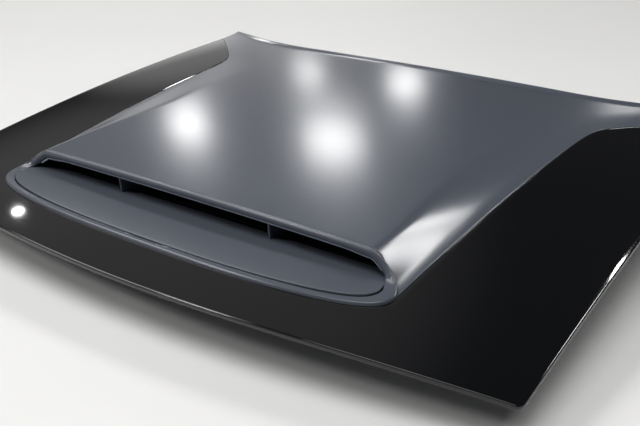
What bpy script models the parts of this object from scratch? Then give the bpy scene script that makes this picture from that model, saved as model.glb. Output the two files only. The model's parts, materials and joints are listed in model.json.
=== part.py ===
# Car hood with a raised air scoop, its inner frame, duct, hinges, gas struts and latch striker.
# Metres. X runs to the car's left, Y to its rear and Z up. The model is laid out from the middle of
# the hood's front edge, and one empty then moves it so that the origin is on the left hinge foot.
import math

import bmesh
import bpy
from mathutils import Matrix, Vector

# Gaps and sheets
GAP = 0.0003            # between pieces that touch
PANEL_GAP = 0.0009      # seam between two outer panels
FACET_ROOM = 0.0008     # more room under a curved sheet, for its facets
BALL_GAP = 0.0005       # between the rod's end fitting and its ball, where the linkage is open
SKIN = 0.0020           # outer panels
INNER_SHEET = 0.0020    # inner frame
DUCT_WALL = 0.0025
PIN_PLAY = 0.0003       # round a pin in its hole

# Hood outline in plan
HALF_WIDTH = 0.700      # at the front corners
SIDE_FLARE = 0.0254     # wider on each side at the rear corners
NOSE_Y = 0.003
FRONT_SWEEP = 0.080     # how far the front corners lie behind the nose
CORNER_RADIUS = 0.012
REAR_Y = 1.122          # rear edge on the centre line
REAR_SWEEP = 0.110      # how far the rear corners run past it
SWEEP_START = 0.380     # half width where the rear edge starts to sweep
EDGE_FOLD = 0.007       # depth of the folded outer edge
EDGE_ROUND = 0.0025

# Height of the base surface
SIDE_LOW = -0.0184      # side edge at the front corner
SIDE_RISE = 0.0795      # and its rise towards the rear
SIDE_LENGTH = 1.190
CROWN = 0.0333          # centre line above the side edges
SIDE_POWER_SHARE = 2.27
CROWN_POWER_SHARE = 3.30

# Raised scoop panel
CREASE_FRONT = 0.4533   # half width of its foot at the mouth
CREASE_REAR = 0.4925    # and just before it flares
CREASE_FRONT_Y = 0.178
CREASE_REAR_Y = 0.900
FLARE_Y = 0.930         # where the foot turns outwards
FLARE_ROUND = 0.040
MEETING_AHEAD = 0.0740  # its foot reaches the hood's side this far ahead of the rear corner
PLATEAU = 0.0895        # highest point of the top
PLATEAU_Y = 0.850
PLATEAU_FALL = 0.0180   # lower at the lip than at the highest point
TOP_CROWN = 0.0050
FLANK_FRONT = 0.072     # width of the coved flank at the mouth
FLANK_REAR = 0.118
FLANK_BLEND = 0.450     # length over which it widens
FLANK_START_SHARE = 0.45
KICK = 0.0045           # upturn of the rear edge
KICK_LENGTH = 0.055

# Band round the mouth and the insert
LIP_Y = 0.216           # front edge of the scoop panel on the centre line
LIP_POWER_SHARE = 28    # how late it turns forward to its foot beside the mouth
LIP_BAND = 0.0125       # depth of the rolled lip over the mouth
LIP_BAND_END = 0.0155   # and where it turns down beside the mouth
LIP_BULGE = 0.0055
LIP_LEAN = 0.0015       # its lower edge lies behind its upper edge
LIP_RETURN = 0.022      # wall behind the lip
SURROUND_DEPTH = 0.086  # from the mouth's ends forward to the band's front
SURROUND_POWER_SHARE = 2.55
SURROUND_SIDE = 0.034   # band width beside the mouth
SURROUND_FRONT = 0.0155  # and in front of it
SURROUND_RISE = 0.0040

# Insert, trim and vanes
INSERT_SHEET = 0.0025
INSERT_CREASE_Y = 0.167
INSERT_CREASE_SWEEP = 0.030
INSERT_RISE = 0.0070
MOUTH_INSET = 0.0103    # the mouth floor's end inside the band beside it
MOUTH_FLOOR = 0.0235
MOUTH_FLOOR_Y = 0.228
INSERT_END_Y = 0.262
INSERT_END_Z = 0.0140
TRIM_DEPTH = 0.010
TRIM_THICKNESS = 0.0025
TRIM_SETBACK = 0.0015
VANE_X = 0.180
VANE_THICKNESS = 0.0040

# Duct under the scoop
DUCT_DROP = 0.0270      # floor below the base surface
DUCT_HALF_FRONT = 0.395
DUCT_HALF_REAR = 0.300
DUCT_START_Y = 0.266
DUCT_END_Y = 0.560
DUCT_FLANGE = 0.012
OUTLET_HALF = 0.165
OUTLET_FRONT_Y = 0.415
OUTLET_REAR_Y = 0.515
OUTLET_BASE_Z = -0.012
SEAL_WIDTH = 0.012
SEAL_HEIGHT = 0.014

# Inner frame
FRAME_INSET = 0.012
FRAME_DROP = 0.0360     # below the base surface
FRAME_BLEND = 0.070     # from the rim down to the full drop
FRAME_SEAT = 0.0020     # room left for the bead of mastic under the outer panels
FRAME_BEAD = 0.0080     # stamped grooves along its ribs
WINDOW_FLANGE = 0.0045  # upturned edge round each cut-out

# Hinges
PIVOT_Y = 1.095
PIVOT_Z = -0.015
EAR_INSET = 0.1254      # ear inside the hood's rear corner
PLATE = 0.0040
PLATE_GAP = 0.0015
PIN_RADIUS = 0.0060
EAR_RADIUS = 0.018
FOOT_Z = -0.085
FOOT_FRONT_Y = 0.985
FOOT_REAR_Y = 1.115
FOOT_WIDTH = 0.056
ARM_FRONT_Y = 0.900
ARM_FLANGE = 0.040
ARM_DEPTH = 0.026

# Gas struts
STRUT_FOOT_Y = 1.020
STRUT_FOOT_Z = -0.060
STRUT_HEAD_Y = 0.620
STRUT_HEAD_Z = 0.000
STUD_REACH = 0.022      # from the ear's face in to the ball's centre
SOCKET_REACH = 0.012    # from the ball's centre in to the strut's axis
BALL_RADIUS = 0.0050
STUD_RADIUS = 0.0034
CUP_RADIUS = 0.0090
CUP_PLAY = 0.0004
TUBE_RADIUS = 0.0105
TUBE_LENGTH = 0.255
ROD_RADIUS = 0.0045
ROD_PLAY = 0.0005
ROD_HIDDEN = 0.150

# Latch striker, stops, rear seal and pad
STRIKER_Y = 0.075
STRIKER_HALF = 0.024
STRIKER_DROP = 0.040
STRIKER_BAR = 0.0045
STRIKER_PLATE_X = 0.090
STRIKER_PLATE_Y = 0.044
STRIKER_PLATE = 0.003
STOP_INSET = 0.140      # from the hood's front corner
STOP_Y = 0.125
STOP_RADIUS = 0.014
STOP_HEIGHT = 0.022
SEAL_ENDS = 0.1754      # the rear seal stops this far inside the rear corners
SEAL_BULB = 0.0055
SEAL_INSET = 0.020
SEAL_SLOPE_SHARE = 1.04  # the bulb's radius, measured down from the sloping sheet
PAD_HALF = 0.430
PAD_FRONT_Y = 0.590
PAD_REAR_Y = 0.975
PAD_THICKNESS = 0.012

# Sections and facets
ROUND_STEPS = 16        # facets round a pin or a tube
SURROUND_STEPS = 14     # sections from the band's middle, in front, to the mouth's end
FLANK_STEPS = 6         # columns over one flank
TOP_STEPS = 7           # columns from the shoulder to the centre line
BAND_STEPS = 5          # facets across the band
CREASE_SHARES = [0, 0.10, 0.22, 0.34, 0.46, 0.57, 0.66, 0.72, 0.76, 0.79, 0.82, 0.85, 0.89, 0.94, 1]
DECK_SHARES = [0.3, 0.6, 0.85, 1]

# Places that follow from the sizes above
REAR_HALF = HALF_WIDTH + SIDE_FLARE
MOUTH_HALF = CREASE_FRONT - SURROUND_SIDE - MOUTH_INSET
CORNER_Y = NOSE_Y + FRONT_SWEEP
REAR_CORNER_Y = REAR_Y + REAR_SWEEP
EAR_X = REAR_HALF - EAR_INSET
BALL_X = EAR_X - STUD_REACH
STRUT_X = BALL_X - SOCKET_REACH
HOOD_AXIS = Vector((0, PIVOT_Y, PIVOT_Z))
ORIGIN = Vector((EAR_X + PLATE + FOOT_WIDTH / 2, (FOOT_FRONT_Y + FOOT_REAR_Y) / 2, FOOT_Z))


# Surfaces

def mix(a, b, share):
    return a + (b - a) * share


def ease(share):
    share = min(1.0, max(0.0, share))
    return share * share * (3 - 2 * share)


def side_half(y):
    return HALF_WIDTH + SIDE_FLARE * (y - CORNER_Y) / (REAR_CORNER_Y - CORNER_Y)


def front_line(x):
    return NOSE_Y + FRONT_SWEEP * (x / HALF_WIDTH) ** 2


def rear_line(x):
    out = max(0.0, (abs(x) - SWEEP_START) / (REAR_HALF - SWEEP_START))
    return REAR_Y + REAR_SWEEP * out ** 2


def base_height(x, y):
    left = 1 - (y - CORNER_Y) / SIDE_LENGTH
    side = SIDE_LOW + SIDE_RISE * (1 - math.copysign(abs(left) ** SIDE_POWER_SHARE, left))
    return side + CROWN * (1 - (abs(x) / side_half(y)) ** CROWN_POWER_SHARE)


def straight_crease(y):
    return mix(CREASE_FRONT, CREASE_REAR, (y - CREASE_FRONT_Y) / (CREASE_REAR_Y - CREASE_FRONT_Y))


def past_flare(y):
    # nothing ahead of the flare and the distance past it behind, with a rounded turn
    return (y - FLARE_Y + math.hypot(y - FLARE_Y, FLARE_ROUND)) / 2


MEETING_Y = REAR_CORNER_Y - MEETING_AHEAD
FLARE_SLOPE = (side_half(MEETING_Y) - straight_crease(MEETING_Y)) / past_flare(MEETING_Y)


def crease_half(y):
    return straight_crease(y) + FLARE_SLOPE * past_flare(y)


def crease_slant(y):
    # length along the crease for each length in y
    turn = 1 + (y - FLARE_Y) / math.hypot(y - FLARE_Y, FLARE_ROUND)
    straight = (CREASE_REAR - CREASE_FRONT) / (CREASE_REAR_Y - CREASE_FRONT_Y)
    return math.hypot(1, straight + FLARE_SLOPE * turn / 2)


def flank_width(y):
    return mix(FLANK_FRONT, FLANK_REAR, ease((y - CREASE_FRONT_Y) / FLANK_BLEND))


def top_height(x, y):
    fall = PLATEAU_FALL * ((y - PLATEAU_Y) / (PLATEAU_Y - LIP_Y)) ** 2
    ahead = (rear_line(x) - y) / KICK_LENGTH
    kick = KICK * (1 - ease(ahead)) - KICK * ease(1 - abs(ahead - 1))
    return PLATEAU - fall - TOP_CROWN * (x / CREASE_FRONT) ** 2 + kick


def hood_height(x, y):
    base = base_height(x, y)
    inside = (crease_half(y) - abs(x)) / crease_slant(y)
    share = min(1.0, max(0.0, inside / flank_width(y)))
    lift = ease(share) + FLANK_START_SHARE * share * (1 - share) ** 2
    return base + lift * (top_height(x, y) - base)


def shoulder_half(y):
    return crease_half(y) - flank_width(y) * crease_slant(y)


def lip_y(x):
    return mix(LIP_Y, CREASE_FRONT_Y, min(1.0, abs(x) / CREASE_FRONT) ** LIP_POWER_SHARE)


def surround_edge(angle, side_in, front_in):
    power = 2 / SURROUND_POWER_SHARE
    x = (CREASE_FRONT - side_in) * math.sin(angle) ** power
    y = CREASE_FRONT_Y - (SURROUND_DEPTH - front_in) * max(0.0, math.cos(angle)) ** power
    return x, y


def mirrored(number, spot):
    return Vector((math.copysign(spot[0], number) if number else 0.0, spot[1], spot[2]))


# Making objects

def clear_scene():
    for thing in list(bpy.data.objects):
        bpy.data.objects.remove(thing, do_unlink=True)


def make_empty(name, at, parent=None):
    made = bpy.data.objects.new(name, None)
    bpy.context.collection.objects.link(made)
    made.location = at
    made.parent = parent
    return made


def make_material(name, color, roughness, metallic=0.0):
    made = bpy.data.materials.new(name)
    made.use_nodes = True
    shader = made.node_tree.nodes["Principled BSDF"]
    shader.inputs["Base Color"].default_value = (*color, 1)
    shader.inputs["Roughness"].default_value = roughness
    shader.inputs["Metallic"].default_value = metallic
    made.diffuse_color = (*color, 1)
    return made


def link(made, parent):
    # parts of the hood hang from the empty on its hinge axis
    bpy.context.collection.objects.link(made)
    made.parent = parent
    if parent is hood:
        made.location -= HOOD_AXIS
    return made


def place(name, bm, color, roughness, metallic=0.0, at=Vector(), parent=None):
    bmesh.ops.translate(bm, verts=bm.verts, vec=-at)
    mesh = bpy.data.meshes.new(name)
    bm.to_mesh(mesh)
    bm.free()
    made = bpy.data.objects.new(name, mesh)
    made.location = at
    mesh.materials.append(make_material(name, color, roughness, metallic))
    return link(made, parent or model)


def sheet(columns, rows, where, skip=None):
    bm = bmesh.new()
    bmesh.ops.create_grid(bm, x_segments=columns, y_segments=rows, size=1)
    if skip:
        spots = [(face, face.calc_center_median()) for face in bm.faces]
        faces = [face for face, spot in spots
                 if skip(int((1 + spot.x) / 2 * columns), int((1 + spot.y) / 2 * rows))]
        bmesh.ops.delete(bm, geom=faces, context="FACES")
    for vert in bm.verts:
        vert.co = where(round((vert.co.x + 1) / 2 * columns), round((vert.co.y + 1) / 2 * rows))
    bm.normal_update()
    if sum(face.normal.z for face in bm.faces) < 0:
        bmesh.ops.reverse_faces(bm, faces=bm.faces)
    return bm


def thicken(made, thickness, even=True):
    wall = made.modifiers.new("wall", "SOLIDIFY")
    wall.thickness = thickness
    wall.offset = -1
    wall.use_even_offset = even


def pulled_verts(made):
    return [item for item in made["geom"] if isinstance(item, bmesh.types.BMVert)]


def turned(points, steps=ROUND_STEPS):
    bm = bmesh.new()
    verts = [bm.verts.new((radius, 0, height)) for radius, height in points]
    edges = [bm.edges.new(pair) for pair in zip(verts, verts[1:])]
    bmesh.ops.spin(bm, geom=verts + edges, axis=(0, 0, 1), cent=(0, 0, 0), angle=math.tau, steps=steps,
                   use_merge=True)
    bmesh.ops.remove_doubles(bm, verts=bm.verts, dist=GAP / 10)
    bmesh.ops.recalc_face_normals(bm, faces=bm.faces)
    return bm


def plate(outline, axis, start, depth):
    # outline points lie in the plane across the axis, in X, Y, Z order
    bm = bmesh.new()
    verts = []
    for point in outline:
        spot = list(point)
        spot.insert("xyz".index(axis), start)
        verts.append(bm.verts.new(spot))
    face = bm.faces.new(verts)
    push = Vector([depth if name == axis else 0 for name in "xyz"])
    bmesh.ops.translate(bm, vec=push, verts=pulled_verts(bmesh.ops.extrude_face_region(bm, geom=[face])))
    bmesh.ops.recalc_face_normals(bm, faces=bm.faces)
    return bm


def box_outline(x_low, x_high, y_low, y_high):
    return [(x_low, y_low), (x_high, y_low), (x_high, y_high), (x_low, y_high)]


def arc(y, z, radius, start, end, steps):
    angles = [math.radians(mix(start, end, step / steps)) for step in range(steps + 1)]
    return [(y + radius * math.cos(angle), z + radius * math.sin(angle)) for angle in angles]


def boolean(made, other, operation):
    cut = made.modifiers.new(operation.lower(), "BOOLEAN")
    cut.operation = operation
    cut.object = other
    cut.solver = "EXACT"
    other.hide_render = True
    other.display_type = "WIRE"


def turn_to(bm, direction, centre):
    # lay a shape turned about Z along a direction, from a centre
    turn = Vector((0, 0, 1)).rotation_difference(direction).to_matrix().to_4x4()
    bmesh.ops.transform(bm, matrix=Matrix.Translation(centre) @ turn, verts=bm.verts)
    bmesh.ops.recalc_face_normals(bm, faces=bm.faces)
    return bm


def drill(made, name, radius, centre, parent=None):
    reach = PLATE * 4
    hole = turned([(0, -reach), (radius, -reach), (radius, reach), (0, reach)])
    cutter = place("cut_" + name, turn_to(hole, Vector((1, 0, 0)), centre), (0, 0, 0), 1, parent=parent)
    boolean(made, cutter, "DIFFERENCE")


def evaluated(made):
    bpy.context.view_layer.update()
    return made.evaluated_get(bpy.context.evaluated_depsgraph_get())


def underside(made, x_low, x_high, y_low, y_high, steps=10):
    # lowest point of a sheet's underside over a rectangle
    lowest = None
    for column in range(steps + 1):
        for row in range(steps + 1):
            below = Vector((mix(x_low, x_high, column / steps), mix(y_low, y_high, row / steps), 2 * FOOT_Z))
            hit, spot, normal, face = made.ray_cast(below, Vector((0, 0, 1)))
            if hit:
                lowest = spot.z if lowest is None else min(lowest, spot.z)
    return lowest


# Outer skin

def crease_stations():
    # where the sections of both panels meet the crease, closer together round the flare
    return [mix(CREASE_FRONT_Y, MEETING_Y - EDGE_FOLD, share) for share in CREASE_SHARES]


def outer_panel():
    corner_steps, across = 3, 6
    front_steps = SURROUND_STEPS - corner_steps
    stations = crease_stations()
    count = SURROUND_STEPS + len(stations) - 1
    pulled = CORNER_RADIUS * (1 - math.sqrt(0.5))

    def section(number):
        if number <= SURROUND_STEPS:
            inner = surround_edge(math.pi / 2 * number / SURROUND_STEPS, -PANEL_GAP, -PANEL_GAP)
        else:
            y = stations[number - SURROUND_STEPS]
            inner = (crease_half(y) + PANEL_GAP, y)
        if number <= front_steps:
            x = (HALF_WIDTH - CORNER_RADIUS) * number / front_steps
            outer = (x, front_line(x))
        elif number == front_steps + 1:
            outer = (HALF_WIDTH - pulled, CORNER_Y + pulled / 2)
        elif number < SURROUND_STEPS:
            outer = (HALF_WIDTH, CORNER_Y + CORNER_RADIUS)
        else:
            y = stations[number - SURROUND_STEPS]
            outer = (side_half(y), y + PANEL_GAP)
        return inner, outer

    def where(column, row):
        number = column - count
        inner, outer = section(abs(number))
        reach = math.hypot(outer[0] - inner[0], outer[1] - inner[1])
        share = min(row / across, 1.0)
        drop = EDGE_FOLD if row > across else 0.0
        if row == across:
            share -= EDGE_ROUND / reach
            drop = EDGE_ROUND / 4
        x, y = mix(inner[0], outer[0], share), mix(inner[1], outer[1], share)
        return mirrored(number, (x, y, base_height(x, y) - drop))

    bm = sheet(2 * count, across + 1, where)
    thicken(place("outer_panel", bm, (0.006, 0.006, 0.007), 0.08, parent=hood), SKIN)


def cover_x(number, y, half):
    # columns count from the scoop panel's foot over the flank to the centre line
    shoulder = min(shoulder_half(y), half)
    if number <= FLANK_STEPS:
        return mix(half, shoulder, number / FLANK_STEPS)
    return shoulder * (1 - (number - FLANK_STEPS) / TOP_STEPS)


def scoop_panel():
    stations = crease_stations()
    stations[0] += SKIN + GAP
    meet = stations[-1]
    stations += [mix(meet, REAR_CORNER_Y, share) for share in DECK_SHARES]
    columns, rows = FLANK_STEPS + TOP_STEPS, len(stations) - 1

    def where(column, row):
        number = columns - abs(column - columns)
        edge_y = stations[row]
        half = crease_half(edge_y) if edge_y <= meet else side_half(edge_y)
        x = cover_x(number, edge_y, half)
        front = lip_y(x) + mix(SKIN + GAP, PANEL_GAP, band_roll(number))
        middle = mix(front, REAR_Y, (edge_y - stations[0]) / (REAR_CORNER_Y - stations[0]))
        bend = max(0.0, (x - SWEEP_START) / (half - SWEEP_START)) ** 2 if half > SWEEP_START else 0
        y = mix(middle, edge_y, bend)
        if row == 0:
            y = front
        return mirrored(column - columns, (x, y, hood_height(x, y)))

    bm = sheet(2 * columns, rows, where)
    made = place("scoop_panel", bm, (0.085, 0.092, 0.105), 0.38, 0.35, parent=hood)
    thicken(made, SKIN)
    return evaluated(made)


# Band round the mouth: flat in front, it climbs beside the mouth and rolls over as the lip

def lip_edge(number):
    x = cover_x(number, CREASE_FRONT_Y, CREASE_FRONT)
    y = lip_y(x)
    return Vector((x, y, hood_height(x, y)))


def lip_normal(number):
    along = lip_edge(min(number + 1, FLANK_STEPS + TOP_STEPS)) - lip_edge(max(number - 1, 0))
    return Vector((along.z, 0, -along.x)).normalized()


def band_roll(number):
    # 0 where the band lies flat, 1 where it has rolled over
    return ease(2 * number / FLANK_STEPS)


def band_inner(number):
    outer = lip_edge(number)
    flat = outer + Vector((-SURROUND_SIDE, 0, SURROUND_RISE))
    depth = mix(LIP_BAND_END, LIP_BAND, ease(number - FLANK_STEPS))
    rolled = outer - depth * lip_normal(number) + Vector((0, LIP_LEAN, 0))
    return flat.lerp(rolled, band_roll(number))


def band_point(number, share):
    outer, roll = lip_edge(number), band_roll(number)
    inner = band_inner(number)
    flat = outer.lerp(inner, share)
    flat.z += SURROUND_RISE * (math.sin(share * math.pi / 2) - share)
    rolled = outer.lerp(inner, (1 - math.cos(math.pi * share)) / 2)
    rolled.y -= LIP_BULGE * math.sin(math.pi * share)
    return flat.lerp(rolled, roll)


def front_band_point(angle, share):
    outer = surround_edge(angle, 0, 0)
    inner = surround_edge(angle, SURROUND_SIDE, SURROUND_FRONT)
    x, y = mix(outer[0], inner[0], share), mix(outer[1], inner[1], share)
    return Vector((x, y, base_height(x, y) + SURROUND_RISE * math.sin(share * math.pi / 2)))


def scoop_surround():
    half = SURROUND_STEPS + FLANK_STEPS + TOP_STEPS

    def where(column, row):
        number = abs(column - half)
        share = min(1.0, row / BAND_STEPS)
        roll = 0.0
        if number <= SURROUND_STEPS:
            spot = front_band_point(math.pi / 2 * number / SURROUND_STEPS, share)
        else:
            spot = band_point(number - SURROUND_STEPS, share)
            roll = band_roll(number - SURROUND_STEPS)
        if row > BAND_STEPS:
            spot += Vector((0, 0, -SURROUND_RISE)).lerp(Vector((0, LIP_RETURN, 0)), roll)
        return mirrored(column - half, spot)

    bm = sheet(2 * half, BAND_STEPS + 1, where)
    bmesh.ops.remove_doubles(bm, verts=bm.verts, dist=GAP / 10)
    thicken(place("scoop_surround", bm, (0.080, 0.086, 0.098), 0.40, 0.3, parent=hood), SKIN)


def mouth_trim():
    steps = FLANK_STEPS + TOP_STEPS
    first = FLANK_STEPS // 2

    def where(column, row):
        number = steps - abs(column - (steps - first))
        inner = band_inner(number)
        inward = inner - lip_edge(number)
        inward.y = 0
        spot = inner + GAP * inward.normalized()
        spot.y += TRIM_SETBACK + TRIM_DEPTH * row / 2
        return mirrored(column - (steps - first), spot)

    bm = sheet(2 * (steps - first), 2, where)
    thicken(place("mouth_trim", bm, (0.16, 0.17, 0.19), 0.3, 0.6, parent=hood), TRIM_THICKNESS)


def insert_height(x, y):
    along = abs(x) / MOUTH_HALF
    crease_y = INSERT_CREASE_Y + INSERT_CREASE_SWEEP * along ** 2.5
    front_y = CREASE_FRONT_Y - SURROUND_DEPTH + SURROUND_FRONT
    crease_z = base_height(x, crease_y) + mix(INSERT_RISE, SURROUND_RISE, along ** 6)
    if y <= crease_y:
        share = max(0.0, (y - front_y) / (crease_y - front_y))
        return mix(base_height(x, y) + SURROUND_RISE, crease_z, share)
    if y <= MOUTH_FLOOR_Y:
        return mix(crease_z, MOUTH_FLOOR, (y - crease_y) / (MOUTH_FLOOR_Y - crease_y))
    return mix(MOUTH_FLOOR, INSERT_END_Z, (y - MOUTH_FLOOR_Y) / (INSERT_END_Y - MOUTH_FLOOR_Y))


def scoop_insert():
    half_columns = SURROUND_STEPS
    seam = SKIN + PANEL_GAP
    widest = CREASE_FRONT - SURROUND_SIDE - seam
    # shares from the front edge to the crease, then to the mouth's floor, then to the end
    band_shares, slope_shares, floor_shares = [0, 0.33, 0.67, 1], [0.25, 0.5, 0.75, 1], [0.5, 1]
    rows = len(band_shares) + len(slope_shares) + len(floor_shares) - 1

    def where(column, row):
        number = column - half_columns
        angle = math.pi / 2 * abs(number) / half_columns
        x, front = surround_edge(angle, SURROUND_SIDE + seam, SURROUND_FRONT + seam)
        crease_y = INSERT_CREASE_Y + INSERT_CREASE_SWEEP * (x / MOUTH_HALF) ** 2.5
        crease_y = max(crease_y, mix(front, MOUTH_FLOOR_Y, 0.4))
        stops = [mix(front, crease_y, share) for share in band_shares]
        stops += [mix(crease_y, MOUTH_FLOOR_Y, share) for share in slope_shares]
        stops += [mix(MOUTH_FLOOR_Y, INSERT_END_Y, share) for share in floor_shares]
        y = stops[row]
        turn_y = CREASE_FRONT_Y - SURROUND_RISE
        narrow = math.sqrt(min(1.0, max(0.0, (y - turn_y) / (MOUTH_FLOOR_Y - turn_y))))
        x *= mix(1, MOUTH_HALF / widest, narrow)
        return mirrored(number, (x, y, insert_height(x, y)))

    bm = sheet(2 * half_columns, rows, where)
    thicken(place("scoop_insert", bm, (0.062, 0.066, 0.074), 0.5, 0.2, parent=hood), INSERT_SHEET)


def lip_under(x):
    return hood_height(x, lip_y(x)) - LIP_BAND


def scoop_vane(side, label):
    top = lip_under(VANE_X) - TRIM_THICKNESS - 3 * GAP
    start = LIP_Y + LIP_LEAN
    floor_ys = [start, MOUTH_FLOOR_Y, INSERT_END_Y - GAP]
    outline = [(y, insert_height(VANE_X, y) + 2 * GAP) for y in floor_ys]
    outline += [(INSERT_END_Y - GAP, top), (start - LIP_BULGE / 2, top)]
    bm = plate(outline, "x", side * VANE_X - VANE_THICKNESS / 2, VANE_THICKNESS)
    place("scoop_vane_" + label, bm, (0.02, 0.02, 0.022), 0.5, parent=hood)


# Duct and its outlet

def intake_duct(cover):
    outlet_shares = [0, 1 / 3, 2 / 3, 1]
    side_shares = [0.25, 0.5, 0.75, 1]
    xs = [OUTLET_HALF * share for share in outlet_shares]
    xs += [mix(OUTLET_HALF, DUCT_HALF_REAR, share) for share in side_shares]
    ys = [mix(DUCT_START_Y, OUTLET_FRONT_Y, share) for share in outlet_shares]
    ys += [(OUTLET_FRONT_Y + OUTLET_REAR_Y) / 2, OUTLET_REAR_Y, DUCT_END_Y]
    columns, rows = len(xs) - 1, len(ys) - 1
    outlet_columns, outlet_row = len(outlet_shares) - 1, len(outlet_shares) - 1

    def where(column, row):
        x, y = xs[abs(column - columns)], ys[row]
        half = mix(DUCT_HALF_FRONT, DUCT_HALF_REAR, ease((y - DUCT_START_Y) / (DUCT_END_Y - DUCT_START_Y)))
        if x > OUTLET_HALF:
            x = mix(OUTLET_HALF, half, (x - OUTLET_HALF) / (DUCT_HALF_REAR - OUTLET_HALF))
        return mirrored(column - columns, (x, y, base_height(x, y) - DUCT_DROP))

    def skip(column, row):
        return abs(column + 0.5 - columns) < outlet_columns and outlet_row <= row < outlet_row + 2

    def middle(edge):
        return (edge.verts[0].co + edge.verts[1].co) / 2

    def cover_under(spot):
        reach = DUCT_FLANGE / 2
        return underside(cover, spot.x - reach, spot.x + reach, spot.y - reach, spot.y + reach) - GAP

    bm = sheet(2 * columns, rows, where, skip)
    rim = [edge for edge in bm.edges if edge.is_boundary]
    outlet = [edge for edge in rim if abs(middle(edge).x) <= OUTLET_HALF + GAP
              and OUTLET_FRONT_Y - GAP <= middle(edge).y <= OUTLET_REAR_Y + GAP]
    walls = [edge for edge in rim if edge not in outlet and middle(edge).y > DUCT_START_Y + GAP]
    for vert in pulled_verts(bmesh.ops.extrude_edge_only(bm, edges=outlet)):
        vert.co.z = OUTLET_BASE_Z
    made = bmesh.ops.extrude_edge_only(bm, edges=walls)
    for vert in pulled_verts(made):
        vert.co.z = cover_under(vert.co)
    tops = [item for item in made["geom"] if isinstance(item, bmesh.types.BMEdge)]
    for vert in pulled_verts(bmesh.ops.extrude_edge_only(bm, edges=tops)):
        if vert.co.y > DUCT_END_Y - GAP:
            vert.co.y += DUCT_FLANGE
        if abs(vert.co.x) > DUCT_HALF_REAR - GAP:
            vert.co.x += math.copysign(DUCT_FLANGE, vert.co.x)
        vert.co.z = cover_under(vert.co)
    bm.normal_update()
    thicken(place("intake_duct", bm, (0.012, 0.012, 0.013), 0.55, parent=hood), DUCT_WALL)


def outlet_seal():
    # a square ring under the outlet's wall
    middle = (OUTLET_FRONT_Y + OUTLET_REAR_Y) / 2
    half_y = (OUTLET_REAR_Y - OUTLET_FRONT_Y) / 2
    corners = [(-1, -1), (1, -1), (1, 1), (-1, 1)]
    bm = bmesh.new()
    rings = []
    for grow in (SEAL_WIDTH, -DUCT_WALL):
        rings.append([bm.verts.new((a * (OUTLET_HALF + grow), middle + b * (half_y + grow), OUTLET_BASE_Z - GAP))
                      for a, b in corners])
    outer, inner = rings
    for number in range(4):
        after = (number + 1) % 4
        bm.faces.new((outer[number], outer[after], inner[after], inner[number]))
    made = bmesh.ops.extrude_face_region(bm, geom=list(bm.faces))
    bmesh.ops.translate(bm, vec=(0, 0, -SEAL_HEIGHT), verts=pulled_verts(made))
    bmesh.ops.recalc_face_normals(bm, faces=bm.faces)
    place("outlet_seal", bm, (0.015, 0.015, 0.015), 0.8, parent=hood)


# Inner frame

def frame_height(x, y, edge):
    raised = y > CREASE_REAR_Y and abs(x) < crease_half(y)
    rim = (hood_height(x, y) if raised else base_height(x, y)) - SKIN - GAP - FRAME_SEAT
    return mix(rim, base_height(x, y) - FRAME_DROP, ease(edge / FRAME_BLEND))


def frame_edge(x, y):
    side = side_half(y) - FRAME_INSET - abs(x)
    return max(0.0, min(side, y - front_line(x) - FRAME_INSET, rear_line(x) - FRAME_INSET - y))


def inner_frame():
    # lines across the half width and along the length; each rib has an edge, a groove and an edge
    across_shares = [0, 0.04, 0.10, 0.29, 0.325, 0.36, 0.55, 0.59, 0.63, 0.79, 0.84, 0.92, 0.96, 1]
    along_shares = [0, 0.035, 0.09, 0.16, 0.20, 0.30, 0.35, 0.42, 0.475, 0.51, 0.54, 0.57, 0.70, 0.725, 0.75,
                    0.88, 0.91, 0.95, 1]
    groove_columns, window_columns = (0, 4, 7, 10), (2, 5, 8)
    groove_rows, window_rows = (10, 13), (11, 14)
    outlet_columns, outlet_rows = 2, range(6, 8)
    columns, rows = len(across_shares) - 1, len(along_shares) - 1
    front_y, rear_y = CORNER_Y + FRAME_INSET, REAR_CORNER_Y - FRAME_INSET

    def where(column, row):
        number, along = abs(column - columns), along_shares[row]
        x = across_shares[number] * (side_half(mix(front_y, rear_y, along)) - FRAME_INSET)
        y = mix(front_line(x) + FRAME_INSET, rear_line(x) - FRAME_INSET, along)
        edge = frame_edge(x, y)
        grooved = number in groove_columns and row >= groove_rows[0] or row in groove_rows
        lift = FRAME_BEAD * ease(edge / FRAME_BLEND - 1) if grooved else 0.0
        return mirrored(column - columns, (x, y, frame_height(x, y, edge) + lift))

    def skip(column, row):
        number = column - columns if column >= columns else columns - 1 - column
        outlet = number <= outlet_columns and row in outlet_rows
        return outlet or number in window_columns and row in window_rows

    bm = sheet(2 * columns, rows, where, skip)
    holes = [edge for edge in bm.edges if edge.is_boundary
             and frame_edge(*((edge.verts[0].co + edge.verts[1].co) / 2).xy) > FRAME_INSET]
    for vert in pulled_verts(bmesh.ops.extrude_edge_only(bm, edges=holes)):
        vert.co.z += WINDOW_FLANGE
    bm.normal_update()
    made = place("inner_frame", bm, (0.010, 0.010, 0.011), 0.35, parent=hood)
    thicken(made, INNER_SHEET, even=False)
    return evaluated(made)


def insulation_pad():
    half_columns, rows = 6, 6

    def where(column, row):
        x = PAD_HALF * (column / half_columns - 1)
        y = mix(PAD_FRONT_Y, PAD_REAR_Y, row / rows)
        return Vector((x, y, base_height(x, y) - FRAME_DROP - INNER_SHEET - GAP - FACET_ROOM))

    bm = sheet(2 * half_columns, rows, where)
    thicken(place("insulation_pad", bm, (0.02, 0.02, 0.021), 0.95, parent=hood), PAD_THICKNESS)


# Hinges

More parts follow.
